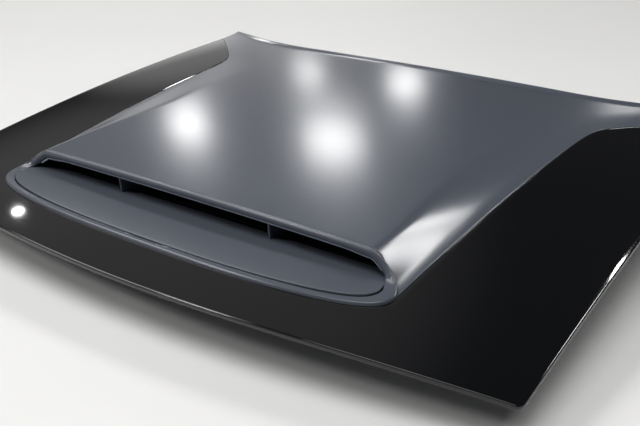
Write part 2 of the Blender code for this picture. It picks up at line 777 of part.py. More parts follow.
def hinge_foot(side, label):
    ear = [(FOOT_FRONT_Y, FOOT_Z), (FOOT_REAR_Y, FOOT_Z)]
    ear += arc(PIVOT_Y, PIVOT_Z, EAR_RADIUS, -20, 160, 10)
    ear += [(STRUT_FOOT_Y - EAR_RADIUS, STRUT_FOOT_Z + EAR_RADIUS), (FOOT_FRONT_Y, STRUT_FOOT_Z)]
    start = side * EAR_X
    made = place("hinge_foot_" + label, plate(ear, "x", start, side * PLATE), (0.05, 0.05, 0.055), 0.4, 0.6)
    base = box_outline(start, start + side * (PLATE + FOOT_WIDTH), FOOT_FRONT_Y, FOOT_REAR_Y)
    boolean(made, place("cut_foot_base_" + label, plate(base, "z", FOOT_Z, PLATE), (0, 0, 0), 1), "UNION")
    drill(made, "foot_pin_" + label, PIN_RADIUS + GAP, Vector((start, PIVOT_Y, PIVOT_Z)))
    drill(made, "foot_stud_" + label, STUD_RADIUS + GAP, Vector((start, STRUT_FOOT_Y, STRUT_FOOT_Z)))


def hinge_arm(side, label, frame):
    inner = side * (EAR_X + PLATE + PLATE_GAP)
    top = underside(frame, inner, inner + side * ARM_FLANGE, ARM_FRONT_Y, PIVOT_Y) - GAP
    web = [(ARM_FRONT_Y, top), (ARM_FRONT_Y, top - PLATE * 3)]
    web += [(PIVOT_Y - EAR_RADIUS * 2, PIVOT_Z - EAR_RADIUS * 0.2)]
    web += arc(PIVOT_Y, PIVOT_Z, EAR_RADIUS, -140, 40, 10)
    web += [(PIVOT_Y + EAR_RADIUS / 2, top - ARM_DEPTH), (PIVOT_Y - EAR_RADIUS, top)]
    made = place("hinge_arm_" + label, plate(web, "x", inner, side * PLATE), (0.05, 0.05, 0.055), 0.4, 0.6,
                 parent=hood)
    flange = box_outline(inner, inner + side * ARM_FLANGE, ARM_FRONT_Y, PIVOT_Y - EAR_RADIUS)
    boolean(made, place("cut_arm_flange_" + label, plate(flange, "z", top - PLATE, PLATE), (0, 0, 0), 1,
                        parent=hood), "UNION")
    drill(made, "arm_pin_" + label, PIN_RADIUS + PIN_PLAY, Vector((inner, PIVOT_Y, PIVOT_Z)), hood)


def hinge_pin(side, label):
    head, grip, wide = PLATE, 2 * PLATE + PLATE_GAP + 2 * GAP, PIN_RADIUS * 1.6
    points = [(0, -GAP - head), (wide, -GAP - head), (wide, -GAP), (PIN_RADIUS, -GAP), (PIN_RADIUS, grip),
              (wide, grip), (wide, grip + head / 2), (0, grip + head / 2)]
    bm = turn_to(turned(points), Vector((side, 0, 0)), Vector((side * EAR_X, PIVOT_Y, PIVOT_Z)))
    place("hinge_pin_" + label, bm, (0.5, 0.5, 0.5), 0.3, 1.0)


# Gas struts, their studs and brackets

def ball_profile():
    # from the ball's far pole to where its shank starts
    points = [(0, -BALL_RADIUS)]
    for step in range(1, 6):
        angle = math.radians(-90 + step * 25)
        points.append((BALL_RADIUS * math.cos(angle), BALL_RADIUS * math.sin(angle)))
    return points + [(STUD_RADIUS, BALL_RADIUS)]


def lower_stud(side, label):
    shank, nut = STUD_REACH + PLATE, STUD_RADIUS * 1.8
    points = ball_profile() + [(STUD_RADIUS, shank + GAP), (nut, shank + GAP), (nut, shank + PLATE),
                               (0, shank + PLATE)]
    centre = Vector((side * BALL_X, STRUT_FOOT_Y, STRUT_FOOT_Z))
    place("strut_foot_stud_" + label, turn_to(turned(points), Vector((side, 0, 0)), centre), (0.5, 0.5, 0.5),
          0.3, 1.0)


def upper_stud(side, label, frame):
    # a plate under the inner frame carries a stud that points at the rod's socket
    half, low = EAR_RADIUS, EAR_RADIUS * 0.7
    x = side * (EAR_X - PLATE)
    rear, front = STRUT_HEAD_Y + half, STRUT_HEAD_Y - half
    under = underside(frame, x, x + side * ARM_FLANGE, front, rear) - GAP
    tab = [(front, under), (STRUT_HEAD_Y - low, STRUT_HEAD_Z - low), (STRUT_HEAD_Y + low, STRUT_HEAD_Z - low),
           (rear, under)]
    made = place("strut_head_bracket_" + label, plate(tab, "x", x, side * PLATE), (0.5, 0.5, 0.5), 0.35, 0.9,
                 parent=hood)
    pad = plate(box_outline(x, x + side * ARM_FLANGE, front, rear), "z", under - PLATE / 2, PLATE / 2)
    boolean(made, place("cut_head_pad_" + label, pad, (0, 0, 0), 1, parent=hood), "UNION")
    reach = STUD_REACH - PLATE / 2
    points = ball_profile() + [(STUD_RADIUS, reach), (0, reach)]
    ball = turn_to(turned(points), Vector((side, 0, 0)), Vector((side * BALL_X, STRUT_HEAD_Y, STRUT_HEAD_Z)))
    boolean(made, place("cut_head_ball_" + label, ball, (0, 0, 0), 1, parent=hood), "UNION")


def strut(side, label):
    foot = Vector((side * STRUT_X, STRUT_FOOT_Y, STRUT_FOOT_Z))
    head = Vector((side * STRUT_X, STRUT_HEAD_Y, STRUT_HEAD_Z))
    along, out = (head - foot).normalized(), Vector((side, 0, 0))
    start, neck, bore = CUP_RADIUS * 0.6, TUBE_RADIUS / 2, ROD_RADIUS + ROD_PLAY
    tube_end = start + TUBE_LENGTH
    rod_start = tube_end - ROD_HIDDEN
    points = [(0, start), (neck, start), (neck, start + CUP_RADIUS), (TUBE_RADIUS, start + CUP_RADIUS * 1.3),
              (TUBE_RADIUS, tube_end - TUBE_RADIUS * 0.3), (TUBE_RADIUS * 0.8, tube_end), (bore, tube_end),
              (bore, rod_start - TUBE_RADIUS), (0, rod_start - TUBE_RADIUS)]
    made = place("strut_cylinder_" + label, turn_to(turned(points), along, foot), (0.012, 0.012, 0.012), 0.3, 0.2,
                 at=foot)
    back, inner = CUP_RADIUS * 0.7, BALL_RADIUS + CUP_PLAY
    deep, seat = SOCKET_REACH + BALL_RADIUS * 0.6, SOCKET_REACH - BALL_RADIUS - CUP_PLAY
    cup = [(0, -back), (CUP_RADIUS, -back), (CUP_RADIUS, deep), (inner, deep), (inner, seat), (0, seat)]
    boolean(made, place("cut_foot_cup_" + label, turn_to(turned(cup), out, foot), (0, 0, 0), 1), "UNION")

    rod_end = (head - foot).length - CUP_RADIUS / 2
    points = [(0, rod_start), (ROD_RADIUS, rod_start), (ROD_RADIUS, rod_end), (0, rod_end)]
    made = place("strut_rod_" + label, turn_to(turned(points), along, foot), (0.6, 0.6, 0.6), 0.15, 1.0, at=foot)
    face = SOCKET_REACH - BALL_RADIUS - BALL_GAP
    eye = [(0, -back), (CUP_RADIUS, -back), (CUP_RADIUS, face), (0, face)]
    boolean(made, place("cut_head_eye_" + label, turn_to(turned(eye), out, head), (0, 0, 0), 1), "UNION")


# Latch striker, stops and rear seal

def bar(name, route, radius, resolution):
    curve = bpy.data.curves.new(name, "CURVE")
    curve.dimensions = "3D"
    curve.bevel_depth = radius
    curve.bevel_resolution = resolution
    curve.use_fill_caps = True
    line = curve.splines.new("POLY")
    line.points.add(len(route) - 1)
    for point, spot in zip(line.points, route):
        point.co = (*spot, 1)
    return bpy.data.objects.new(name, curve)


def latch_striker(frame):
    half_x, half_y = STRIKER_PLATE_X / 2, STRIKER_PLATE_Y / 2
    outline = box_outline(-half_x, half_x, STRIKER_Y - half_y, STRIKER_Y + half_y)
    top = underside(frame, -half_x, half_x, STRIKER_Y - half_y, STRIKER_Y + half_y) - GAP
    made = place("latch_striker", plate(outline, "z", top - STRIKER_PLATE, STRIKER_PLATE), (0.55, 0.55, 0.52),
                 0.35, 0.9, parent=hood)
    bend = 2 * STRIKER_BAR
    leg = [(-STRIKER_HALF, top - STRIKER_PLATE / 2)]
    for angle in (0, 30, 60, 90):
        turn = math.radians(angle)
        leg.append((-STRIKER_HALF + bend * (1 - math.cos(turn)), top - STRIKER_DROP + bend * (1 - math.sin(turn))))
    leg += [(-x, z) for x, z in reversed(leg)]
    line = bar("striker_line", [(x, STRIKER_Y, z) for x, z in leg], STRIKER_BAR, 3)
    bm = bmesh.new()
    bm.from_mesh(bpy.data.meshes.new_from_object(line))
    bpy.data.objects.remove(line, do_unlink=True)
    bmesh.ops.recalc_face_normals(bm, faces=bm.faces)
    boolean(made, place("cut_striker_bar", bm, (0, 0, 0), 1, parent=hood), "UNION")


def rubber_stop(side, label, frame):
    x, half = side * (HALF_WIDTH - STOP_INSET), STOP_RADIUS
    top = underside(frame, x - half, x + half, STOP_Y - half, STOP_Y + half) - GAP
    waist, foot = STOP_RADIUS * 0.8, STOP_RADIUS * 0.7
    points = [(0, 0), (foot, 0), (waist, STOP_HEIGHT * 0.5), (STOP_RADIUS, STOP_HEIGHT * 0.55),
              (STOP_RADIUS, STOP_HEIGHT), (0, STOP_HEIGHT)]
    bm = turned(points)
    bmesh.ops.translate(bm, verts=bm.verts, vec=(x, STOP_Y, top - STOP_HEIGHT))
    place("hood_stop_" + label, bm, (0.02, 0.02, 0.02), 0.8, parent=hood)


def rear_seal(frame):
    steps, half = 24, REAR_HALF - SEAL_ENDS
    route = []
    for number in range(steps + 1):
        x = mix(-half, half, number / steps)
        y = rear_line(x) - FRAME_INSET - SEAL_INSET
        under = underside(frame, x - SEAL_BULB, x + SEAL_BULB, y, y)
        route.append((x, y, under - SEAL_BULB * SEAL_SLOPE_SHARE - GAP))
    made = link(bar("rear_seal", route, SEAL_BULB, 2), hood)
    made.data.materials.append(make_material("rear_seal", (0.015, 0.015, 0.015), 0.8))


clear_scene()
model = make_empty("model_place", -ORIGIN)
hood = make_empty("hood_pivot", HOOD_AXIS, model)

outer_panel()
cover = scoop_panel()
scoop_surround()
scoop_insert()
mouth_trim()
intake_duct(cover)
outlet_seal()
frame = inner_frame()
insulation_pad()
latch_striker(frame)
rear_seal(frame)
for side, label in ((1, "left"), (-1, "right")):
    scoop_vane(side, label)
    hinge_foot(side, label)
    hinge_arm(side, label, frame)
    hinge_pin(side, label)
    lower_stud(side, label)
    upper_stud(side, label, frame)
    strut(side, label)
    rubber_stop(side, label, frame)
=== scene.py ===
# Car hood with a raised air scoop: smooth painted skins, mouth, duct, stamped inner frame, hinges,
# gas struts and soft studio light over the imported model. Metres throughout.
import json
import math

import bmesh
import bpy
from mathutils import Matrix, Vector


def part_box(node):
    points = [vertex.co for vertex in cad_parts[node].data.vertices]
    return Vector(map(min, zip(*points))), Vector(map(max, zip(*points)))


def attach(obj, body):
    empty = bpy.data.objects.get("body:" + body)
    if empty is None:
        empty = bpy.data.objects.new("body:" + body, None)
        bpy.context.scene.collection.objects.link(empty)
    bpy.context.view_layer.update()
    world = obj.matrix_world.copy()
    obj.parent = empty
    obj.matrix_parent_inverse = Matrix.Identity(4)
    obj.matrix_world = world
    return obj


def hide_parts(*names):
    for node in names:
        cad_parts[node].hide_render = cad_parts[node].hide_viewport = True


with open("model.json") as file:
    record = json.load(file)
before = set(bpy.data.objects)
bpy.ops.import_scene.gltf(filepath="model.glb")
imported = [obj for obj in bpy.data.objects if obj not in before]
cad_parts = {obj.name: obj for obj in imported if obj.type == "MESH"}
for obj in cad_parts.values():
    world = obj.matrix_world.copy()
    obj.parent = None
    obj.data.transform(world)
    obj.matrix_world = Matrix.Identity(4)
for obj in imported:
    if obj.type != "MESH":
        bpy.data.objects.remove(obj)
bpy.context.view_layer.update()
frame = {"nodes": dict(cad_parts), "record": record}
print("frame loaded")

# Shapes are laid out from the middle of the hood's front edge, X to its left and Y to its rear
origin = Vector((0.632, 1.05, -0.085))  # the left hinge foot in that layout

hood = {
    "halfWidth": 0.700, "sideFlare": 0.0254,  # at the front corners, and how much more at the rear
    "noseY": 0.003, "frontSweep": 0.080, "cornerRadius": 0.012,
    "rearY": 1.122, "rearSweep": 0.110, "sweepStart": 0.380,
    "sideLow": -0.0184, "sideRise": 0.0795, "sideLength": 1.190, "sidePower": 2.27,
    "crown": 0.0333, "crownPower": 3.30,
    "creaseFront": 0.4533, "creaseRear": 0.4925,  # half width of the scoop's foot
    "creaseFrontY": 0.178, "creaseRearY": 0.900,
    "flareY": 0.930, "flareRound": 0.040,  # where the foot turns outwards
    "meetingAhead": 0.0740,  # it meets the hood's side this far ahead of the rear corner
    "tipAhead": 0.007,  # and the gloss panel ends this far ahead of that
    "plateau": 0.0895, "plateauY": 0.850, "plateauFall": 0.0180, "topCrown": 0.0050,
    "flankFront": 0.072, "flankRear": 0.118, "flankBlend": 0.450, "flankStart": 0.45,
    "flankSteady": 0.55, "flankBend": 0.24,
    "kick": 0.0045, "kickLength": 0.030,  # upturn of the rear edge
    "lipY": 0.216, "lipPower": 28,
    "seam": 0.0009, "sheet": 0.0010,
}
cornerY = hood["noseY"] + hood["frontSweep"]
rearCornerY = hood["rearY"] + hood["rearSweep"]
rearHalf = hood["halfWidth"] + hood["sideFlare"]
meetingY = rearCornerY - hood["meetingAhead"]
tipY = meetingY - hood["tipAhead"]


def mix(a, b, share):
    return a + (b - a) * share


def ease(share):
    share = min(1.0, max(0.0, share))
    return share * share * (3 - 2 * share)


def sideHalf(y):
    return hood["halfWidth"] + hood["sideFlare"] * (y - cornerY) / (rearCornerY - cornerY)


def frontLine(x):
    return hood["noseY"] + hood["frontSweep"] * (x / hood["halfWidth"]) ** 2


def rearLine(x):
    out = max(0.0, (abs(x) - hood["sweepStart"]) / (rearHalf - hood["sweepStart"]))
    return hood["rearY"] + hood["rearSweep"] * out ** 2


def baseHeight(x, y):
    left = 1 - (y - cornerY) / hood["sideLength"]
    fall = math.copysign(abs(left) ** hood["sidePower"], left)
    side = hood["sideLow"] + hood["sideRise"] * (1 - fall)
    return side + hood["crown"] * (1 - min(1.0, abs(x) / sideHalf(y)) ** hood["crownPower"])


def straightCrease(y):
    share = (y - hood["creaseFrontY"]) / (hood["creaseRearY"] - hood["creaseFrontY"])
    return mix(hood["creaseFront"], hood["creaseRear"], share)


def pastFlare(y):
    return (y - hood["flareY"] + math.hypot(y - hood["flareY"], hood["flareRound"])) / 2


flareSlope = (sideHalf(meetingY) - straightCrease(meetingY)) / pastFlare(meetingY)


def creaseHalf(y):
    return straightCrease(y) + flareSlope * pastFlare(y)


def creaseSlant(y):
    turn = 1 + (y - hood["flareY"]) / math.hypot(y - hood["flareY"], hood["flareRound"])
    length = hood["creaseRearY"] - hood["creaseFrontY"]
    straight = (hood["creaseRear"] - hood["creaseFront"]) / length
    return math.hypot(1, straight + flareSlope * turn / 2)


def flankWidth(y):
    share = ease((y - hood["creaseFrontY"]) / hood["flankBlend"])
    return mix(hood["flankFront"], hood["flankRear"], share)


def topHeight(x, y):
    fall = hood["plateauFall"] * ((y - hood["plateauY"]) / (hood["plateauY"] - hood["lipY"])) ** 2
    ahead = (rearLine(x) - y) / hood["kickLength"]
    kick = hood["kick"] * (1 - ease(ahead)) ** 2
    return hood["plateau"] - fall - hood["topCrown"] * (x / hood["creaseFront"]) ** 2 + kick


def steady(share, bend):
    # like ease, but straight between its two bends
    slope = 1 / (1 - bend)
    if share < bend:
        return slope * share ** 2 / (2 * bend)
    if share > 1 - bend:
        return 1 - slope * (1 - share) ** 2 / (2 * bend)
    return slope * (share - bend / 2)


def hoodHeight(x, y):
    base = baseHeight(x, y)
    inside = (creaseHalf(y) - abs(x)) / creaseSlant(y)
    share = min(1.0, max(0.0, inside / flankWidth(y)))
    lift = mix(ease(share), steady(share, hood["flankBend"]), hood["flankSteady"])
    lift += hood["flankStart"] * share * (1 - share) ** 2
    return base + lift * (topHeight(x, y) - base)


def shoulderHalf(y):
    return creaseHalf(y) - flankWidth(y) * creaseSlant(y)


def lipY(x):
    turn = min(1.0, abs(x) / hood["creaseFront"]) ** hood["lipPower"]
    return mix(hood["lipY"], hood["creaseFrontY"], turn)


# Node maths written as plain expressions
class Wire:
    def __init__(self, tree, socket=None):
        self.tree = tree
        self.socket = socket

    def node(self, kind, settings=None, sockets=None, give=0):
        made = self.tree.nodes.new(kind)
        for name, value in (settings or {}).items():
            if name == "stops":
                ramp = made.color_ramp
                for number, (place, level) in enumerate(value):
                    stop = ramp.elements[number] if number < 2 else ramp.elements.new(1.0)
                    stop.position = place
                    stop.color = (level, level, level, 1)
            else:
                setattr(made, name, value)
        for name, value in (sockets or {}).items():
            if isinstance(value, Wire):
                self.tree.links.new(value.socket, made.inputs[name])
            else:
                made.inputs[name].default_value = value
        return Wire(self.tree, made.outputs[give])

    def maths(self, operation, first, second):
        return self.node("ShaderNodeMath", {"operation": operation}, {0: first, 1: second})

    def __add__(self, other):
        return self.maths("ADD", self, other)

    def __radd__(self, other):
        return self.maths("ADD", other, self)

    def __mul__(self, other):
        return self.maths("MULTIPLY", self, other)

    def __rmul__(self, other):
        return self.maths("MULTIPLY", other, self)

    def spot(self):
        return self.node("ShaderNodeTexCoord", give="Object")

    def stretched(self, scale):
        return self.node("ShaderNodeVectorMath", {"operation": "MULTIPLY"}, {0: self, 1: scale})

    def noise(self, scale, detail, rough=0.55):
        return self.node("ShaderNodeTexNoise", sockets={
            "Vector": self, "Scale": scale, "Detail": detail, "Roughness": rough})

    def steps(self, *stops):
        return self.node("ShaderNodeValToRGB", {"stops": stops}, {"Fac": self})

    def facing(self, way):
        return self.node("ShaderNodeVectorMath", {"operation": "DOT_PRODUCT"},
                         {0: self, 1: way}, give="Value")

    def blend(self, low, high):
        # between two colours
        return self.node("ShaderNodeMix", {"data_type": "RGBA"},
                         {0: self, 6: (*low, 1), 7: (*high, 1)}, give=2)

    def bump(self, strength, distance):
        return self.node("ShaderNodeBump", sockets={
            "Height": self, "Strength": strength, "Distance": distance})


# Finishes by slot. A field is a noise (scale, detail, roughness), some on stretched coordinates or
# cut by steps. tone, rougher and relief are sums of fields by weight: tone blends dark to light,
# rougher adds to rough, and relief feeds the bump (strength, distance)
finishTable = {
    "gloss_paint": {
        "shader": {"Metallic": 0.0, "IOR": 1.5, "Coat Weight": 0.15, "Coat Roughness": 0.02},
        "fields": {"cloud": {"noise": (2.2, 3)}, "peel": {"noise": (210, 1.5)},
                   "specks": {"noise": (260, 4, 0.7), "steps": ((0.66, 0.0), (0.74, 1.0))}},
        "tone": {"cloud": 0.8, "specks": 0.35},
        "dark": (0.0026, 0.0029, 0.0038), "light": (0.0042, 0.0045, 0.0056),
        "rough": 0.045, "rougher": {"cloud": 0.02, "specks": 0.04},
        "relief": {"peel": 1}, "bump": (0.012, 0.0002)},
    "satin_paint": {
        "shader": {"Metallic": 0.0, "IOR": 1.22, "Coat Weight": 0.9, "Coat Roughness": 0.185,
                   "Coat IOR": 1.42},
        "fields": {"flake": {"noise": (2600, 2)}, "cloud": {"noise": (1.7, 1)}},
        "tone": {"flake": 0.5, "cloud": 0.5},
        "dark": (0.061, 0.069, 0.088), "light": (0.076, 0.086, 0.109),
        "rough": 0.280, "rougher": {"cloud": 0.02},
        "relief": {"flake": 1}, "bump": (0.012, 0.0001)},
    "insert_plastic": {
        "shader": {"Metallic": 0.15, "IOR": 1.5},
        "fields": {"grain": {"noise": (900, 3, 0.6)}, "cloud": {"noise": (7, 3)}},
        "tone": {"grain": 0.5, "cloud": 0.5},
        "dark": (0.064, 0.073, 0.092), "light": (0.084, 0.094, 0.116),
        "rough": 0.34, "rougher": {"grain": 0.12},
        "relief": {"grain": 1}, "bump": (0.16, 0.0003)},
    "satin_trim": {
        "shader": {"Metallic": 0.5, "IOR": 1.5},
        "fields": {"brushed": {"stretch": (120, 900, 900), "noise": (1, 3)},
                   "cloud": {"noise": (14, 3)}},
        "tone": {"cloud": 1}, "dark": (0.36, 0.41, 0.50), "light": (0.44, 0.50, 0.59),
        "rough": 0.28, "rougher": {"brushed": 0.10},
        "relief": {"brushed": 1}, "bump": (0.05, 0.0002)},
    "duct_plastic": {
        "shader": {"IOR": 1.48},
        "fields": {"pebble": {"noise": (480, 3, 0.65)}, "cloud": {"noise": (9, 4)}},
        "tone": {"cloud": 1}, "dark": (0.008, 0.008, 0.009), "light": (0.016, 0.016, 0.017),
        "rough": 0.50, "rougher": {"cloud": 0.14},
        "relief": {"pebble": 1}, "bump": (0.25, 0.0004)},
    "seal_rubber": {
        "shader": {"IOR": 1.5},
        "fields": {"skin": {"noise": (700, 3, 0.7)},
                   "chalk": {"noise": (22, 4), "steps": ((0.52, 0.0), (0.78, 1.0))}},
        "tone": {"chalk": 1}, "dark": (0.011, 0.011, 0.011), "light": (0.028, 0.028, 0.027),
        "rough": 0.66, "rougher": {"chalk": 0.16},
        "relief": {"skin": 1}, "bump": (0.2, 0.0003)},
    "inner_paint": {
        "shader": {"IOR": 1.5},
        "fields": {"thin": {"noise": (60, 5, 0.7), "steps": ((0.42, 0.0), (0.70, 1.0))},
                   "cloud": {"noise": (4, 3)}, "peel": {"noise": (330, 2)}},
        "tone": {"thin": 0.6, "cloud": 0.4},
        "dark": (0.0075, 0.0075, 0.0082), "light": (0.021, 0.021, 0.022),
        "rough": 0.30, "rougher": {"thin": 0.22},
        "relief": {"peel": 1}, "bump": (0.10, 0.0004)},
    "pad_felt": {
        "shader": {"Sheen Weight": 0.35, "Sheen Roughness": 0.5},
        "fields": {"fibre": {"stretch": (900, 260, 600), "noise": (1, 4, 0.7)},
                   "cross": {"stretch": (240, 1000, 600), "noise": (1, 4, 0.7)},
                   "cloud": {"noise": (16, 4)}},
        "tone": {"fibre": 0.35, "cross": 0.35, "cloud": 0.3},
        "dark": (0.008, 0.008, 0.009), "light": (0.040, 0.040, 0.041),
        "rough": 0.86, "rougher": {"fibre": 0.06, "cross": 0.06},
        "relief": {"fibre": 0.5, "cross": 0.5}, "bump": (0.55, 0.0008)},
    "hinge_paint": {
        "shader": {"Metallic": 0.35, "IOR": 1.5},
        "fields": {"coat": {"noise": (420, 3)}, "cloud": {"noise": (18, 4)}},
        "tone": {"cloud": 1}, "dark": (0.030, 0.031, 0.034), "light": (0.050, 0.051, 0.055),
        "rough": 0.36, "rougher": {"cloud": 0.14},
        "relief": {"coat": 1}, "bump": (0.12, 0.0003)},
    "plated_steel": {
        "shader": {"Metallic": 1.0},
        "fields": {"film": {"noise": (45, 4, 0.65)}, "fine": {"noise": (500, 3)}},
        "tone": {"film": 1}, "dark": (0.46, 0.45, 0.40), "light": (0.58, 0.58, 0.57),
        "rough": 0.26, "rougher": {"film": 0.16},
        "relief": {"fine": 1}, "bump": (0.06, 0.0002)},
    "strut_paint": {
        "shader": {"IOR": 1.5, "Coat Weight": 0.2, "Coat Roughness": 0.2},
        "fields": {"cloud": {"noise": (30, 3)}, "fine": {"noise": (600, 3)}},
        "tone": {"cloud": 1}, "dark": (0.008, 0.008, 0.009), "light": (0.015, 0.015, 0.016),
        "rough": 0.27, "rougher": {"cloud": 0.12},
        "relief": {"fine": 1}, "bump": (0.07, 0.0002)},
    "rod_chrome": {
        "shader": {"Metallic": 1.0},
        "fields": {"film": {"noise": (70, 3)}, "fine": {"noise": (900, 2)}},
        "tone": {"film": 1}, "dark": (0.60, 0.61, 0.63), "light": (0.70, 0.70, 0.71),
        "rough": 0.06, "rougher": {"film": 0.08},
        "relief": {"fine": 1}, "bump": (0.02, 0.0001)},
}


def summed(fields, weights, total=None):
    for label, weight in weights.items():
        part = fields[label] if weight == 1 else fields[label] * weight
        total = part if total is None else total + part
    return total


def newFinish(name, s):
    made = bpy.data.materials.new(name)
    made.use_nodes = True
    shader = made.node_tree.nodes["Principled BSDF"]
    for socket, value in s["shader"].items():
        shader.inputs[socket].default_value = value
    spot = Wire(made.node_tree).spot()
    fields = {}
    for label, field in s["fields"].items():
        place = spot.stretched(field["stretch"]) if "stretch" in field else spot
        fields[label] = place.noise(*field["noise"])
        if "steps" in field:
            fields[label] = fields[label].steps(*field["steps"])
    links = {"Base Color": summed(fields, s["tone"]).blend(s["dark"], s["light"]),
             "Roughness": summed(fields, s["rougher"], s["rough"])}
    if "bump" in s:
        links["Normal"] = summed(fields, s["relief"]).bump(*s["bump"])
    for socket, value in links.items():
        made.node_tree.links.new(value.socket, shader.inputs[socket])
    return made


finishes = {}
for slotName, s in finishTable.items():
    first, second = slotName.split("_")
    finishes[slotName] = newFinish(first + second.title(), s)
for part in frame["record"]["subparts"]:  # every carried-over node gets its finish
    node = frame["nodes"][part["node"]]
    node.data.materials.clear()
    node.data.materials.append(finishes[part["material_slot"]])
print("finishes ready:", len(finishes))


# Mesh helpers

sameCorner = {"sheet": 0.00002, "node": 0.00001}  # corners this close become one
edgeRound = {"segments": 2, "angle": 30}
nodeSeams = {"flat": 0.1, "sharp": 34}  # degrees: faces that become one, and edges that stay hard


def gridSheet(columns, rows, where):
    bm = bmesh.new()
    bmesh.ops.create_grid(bm, x_segments=columns, y_segments=rows, size=1)
    for vert in bm.verts:
        vert.co = where(round((vert.co.x + 1) / 2 * columns), round((vert.co.y + 1) / 2 * rows))
    bmesh.ops.remove_doubles(bm, verts=bm.verts, dist=sameCorner["sheet"])
    bm.normal_update()
    if sum(face.normal.z * face.calc_area() for face in bm.faces) < 0:
        bmesh.ops.reverse_faces(bm, faces=bm.faces)
    return bm


def giveWall(bm, thickness):
    # a sheet's wall, on the side away from its normals
    mesh = bpy.data.meshes.new("wall")
    bm.to_mesh(mesh)
    holder = bpy.data.objects.new("wall", mesh)
    bpy.context.scene.collection.objects.link(holder)
    wall = holder.modifiers.new("wall", "SOLIDIFY")
    wall.thickness, wall.offset = thickness, -1
    bpy.context.view_layer.update()
    made = holder.evaluated_get(bpy.context.evaluated_depsgraph_get()).to_mesh()
    bm.clear()
    bm.from_mesh(made)
    bpy.data.objects.remove(holder)
    bpy.data.meshes.remove(mesh)


def mirrored(number, spot):
    return Vector((math.copysign(spot[0], number) if number else 0.0, spot[1], spot[2]))


def rolled(radius, deep, parts=3):
    # points of a folded edge from its foot to the face: how far in from the edge and how far down
    turn = [math.pi / 2 * k / parts for k in range(parts + 1)]
    return [(0.0, deep)] + [(radius * (1 - math.cos(a)), radius * (1 - math.sin(a))) for a in turn]


def addPiece(name, bm, slotName, body, nodes=(), sharp=38, shift=True):
    if shift:
        bmesh.ops.translate(bm, verts=bm.verts, vec=-origin)
    mesh = bpy.data.meshes.new(name)
    bm.to_mesh(mesh)
    bm.free()
    mesh.shade_smooth()
    mesh.set_sharp_from_angle(angle=math.radians(sharp))
    made = bpy.data.objects.new(name, mesh)
    bpy.context.scene.collection.objects.link(made)
    mesh.materials.append(finishes[slotName])
    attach(made, body)
    if nodes:
        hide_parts(*nodes)
    return made


def roundEdges(made, width):
    edge = made.modifiers.new("edge", "BEVEL")
    edge.width = width
    edge.segments = edgeRound["segments"]
    edge.limit_method = "ANGLE"
    edge.angle_limit = math.radians(edgeRound["angle"])
    edge.harden_normals = True


def dressed(name, node, slotName, body, width):
    # a copy of a CAD node with merged corners and rounded edges
    bm = bmesh.new()
    bm.from_mesh(frame["nodes"][node].data)
    bmesh.ops.remove_doubles(bm, verts=bm.verts, dist=sameCorner["node"])
    bmesh.ops.dissolve_limit(bm, angle_limit=math.radians(nodeSeams["flat"]), verts=bm.verts,
                             edges=bm.edges)
    made = addPiece(name, bm, slotName, body, [node], sharp=nodeSeams["sharp"], shift=False)
    if width:
        roundEdges(made, width)


def turned(points, steps):
    bm = bmesh.new()
    verts = [bm.verts.new((radius, 0, height)) for radius, height in points]
    edges = [bm.edges.new(pair) for pair in zip(verts, verts[1:])]
    bmesh.ops.spin(bm, geom=verts + edges, axis=(0, 0, 1), cent=(0, 0, 0), angle=math.tau,
                   steps=steps, use_merge=True)
    bmesh.ops.remove_doubles(bm, verts=bm.verts, dist=sameCorner["node"])
    bmesh.ops.recalc_face_normals(bm, faces=bm.faces)
    return bm


def turnTo(bm, direction, centre):
    turn = Vector((0, 0, 1)).rotation_difference(direction).to_matrix().to_4x4()
    bmesh.ops.transform(bm, matrix=Matrix.Translation(centre) @ turn, verts=bm.verts)
    return bm


def joined(parts):
    # several bmeshes as one
    whole = bmesh.new()
    for bm in parts:
        mesh = bpy.data.meshes.new("joining")
        bm.to_mesh(mesh)
        bm.free()
        whole.from_mesh(mesh)
        bpy.data.meshes.remove(mesh)
    return whole


# Gloss panel: front strip and sides

outerPanel = {
    "frontColumns": 64, "sideColumns": 110, "rows": 26, "sideSpread": 1.25,
    "cornerStart": 0.82, "cornerEnd": 0.92,  # shares of the strip's front edge
    "seamRoll": 0.0013, "seamDeep": 0.0055, "leastReach": 0.012,
    "edgeRoll": 0.0026, "edgeDeep": 0.0082, "edgeParts": 4,
    "hemTurn": 0.0015, "hemStart": 0.0012, "hem": 0.010, "sharp": 50,
}
surround = {
    "depth": 0.086, "power": 2.55, "side": 0.023, "front": 0.0098,
    "rise": 0.0040, "riseWidth": 0.0042,
    "columns": 72, "cornerColumns": 84, "lipColumns": 28, "rows": 12, "rowSpread": 1.6,
    "roll": 0.0013, "mostRoll": 0.2, "deep": 0.0050,
    "innerRound": 0.0012, "innerParts": 3, "nearEdge": 0.97, "sharp": 50,
}


def surroundEdge(angle, sideIn, frontIn):
    power = 2 / surround["power"]
    depth = surround["depth"] - frontIn
    x = (hood["creaseFront"] - sideIn) * math.sin(angle) ** power
    return x, hood["creaseFrontY"] - depth * max(0.0, math.cos(angle)) ** power


def edgeOfStrip(share):
    # along the front edge, round the corner and back to the crease's start
    start, end = outerPanel["cornerStart"], outerPanel["cornerEnd"]
    half, radius = hood["halfWidth"], hood["cornerRadius"]
    if share < start:
        x = (half - radius) * share / start
        return x, frontLine(x)
    if share < end:
        turn = (share - start) / (end - start) * math.pi / 2
        return (half - radius * (1 - math.sin(turn)),
                mix(frontLine(half - radius), cornerY + radius, 1 - math.cos(turn)))
    y = mix(cornerY + radius, hood["creaseFrontY"] + hood["seam"], (share - end) / (1 - end))
    return sideHalf(y), y


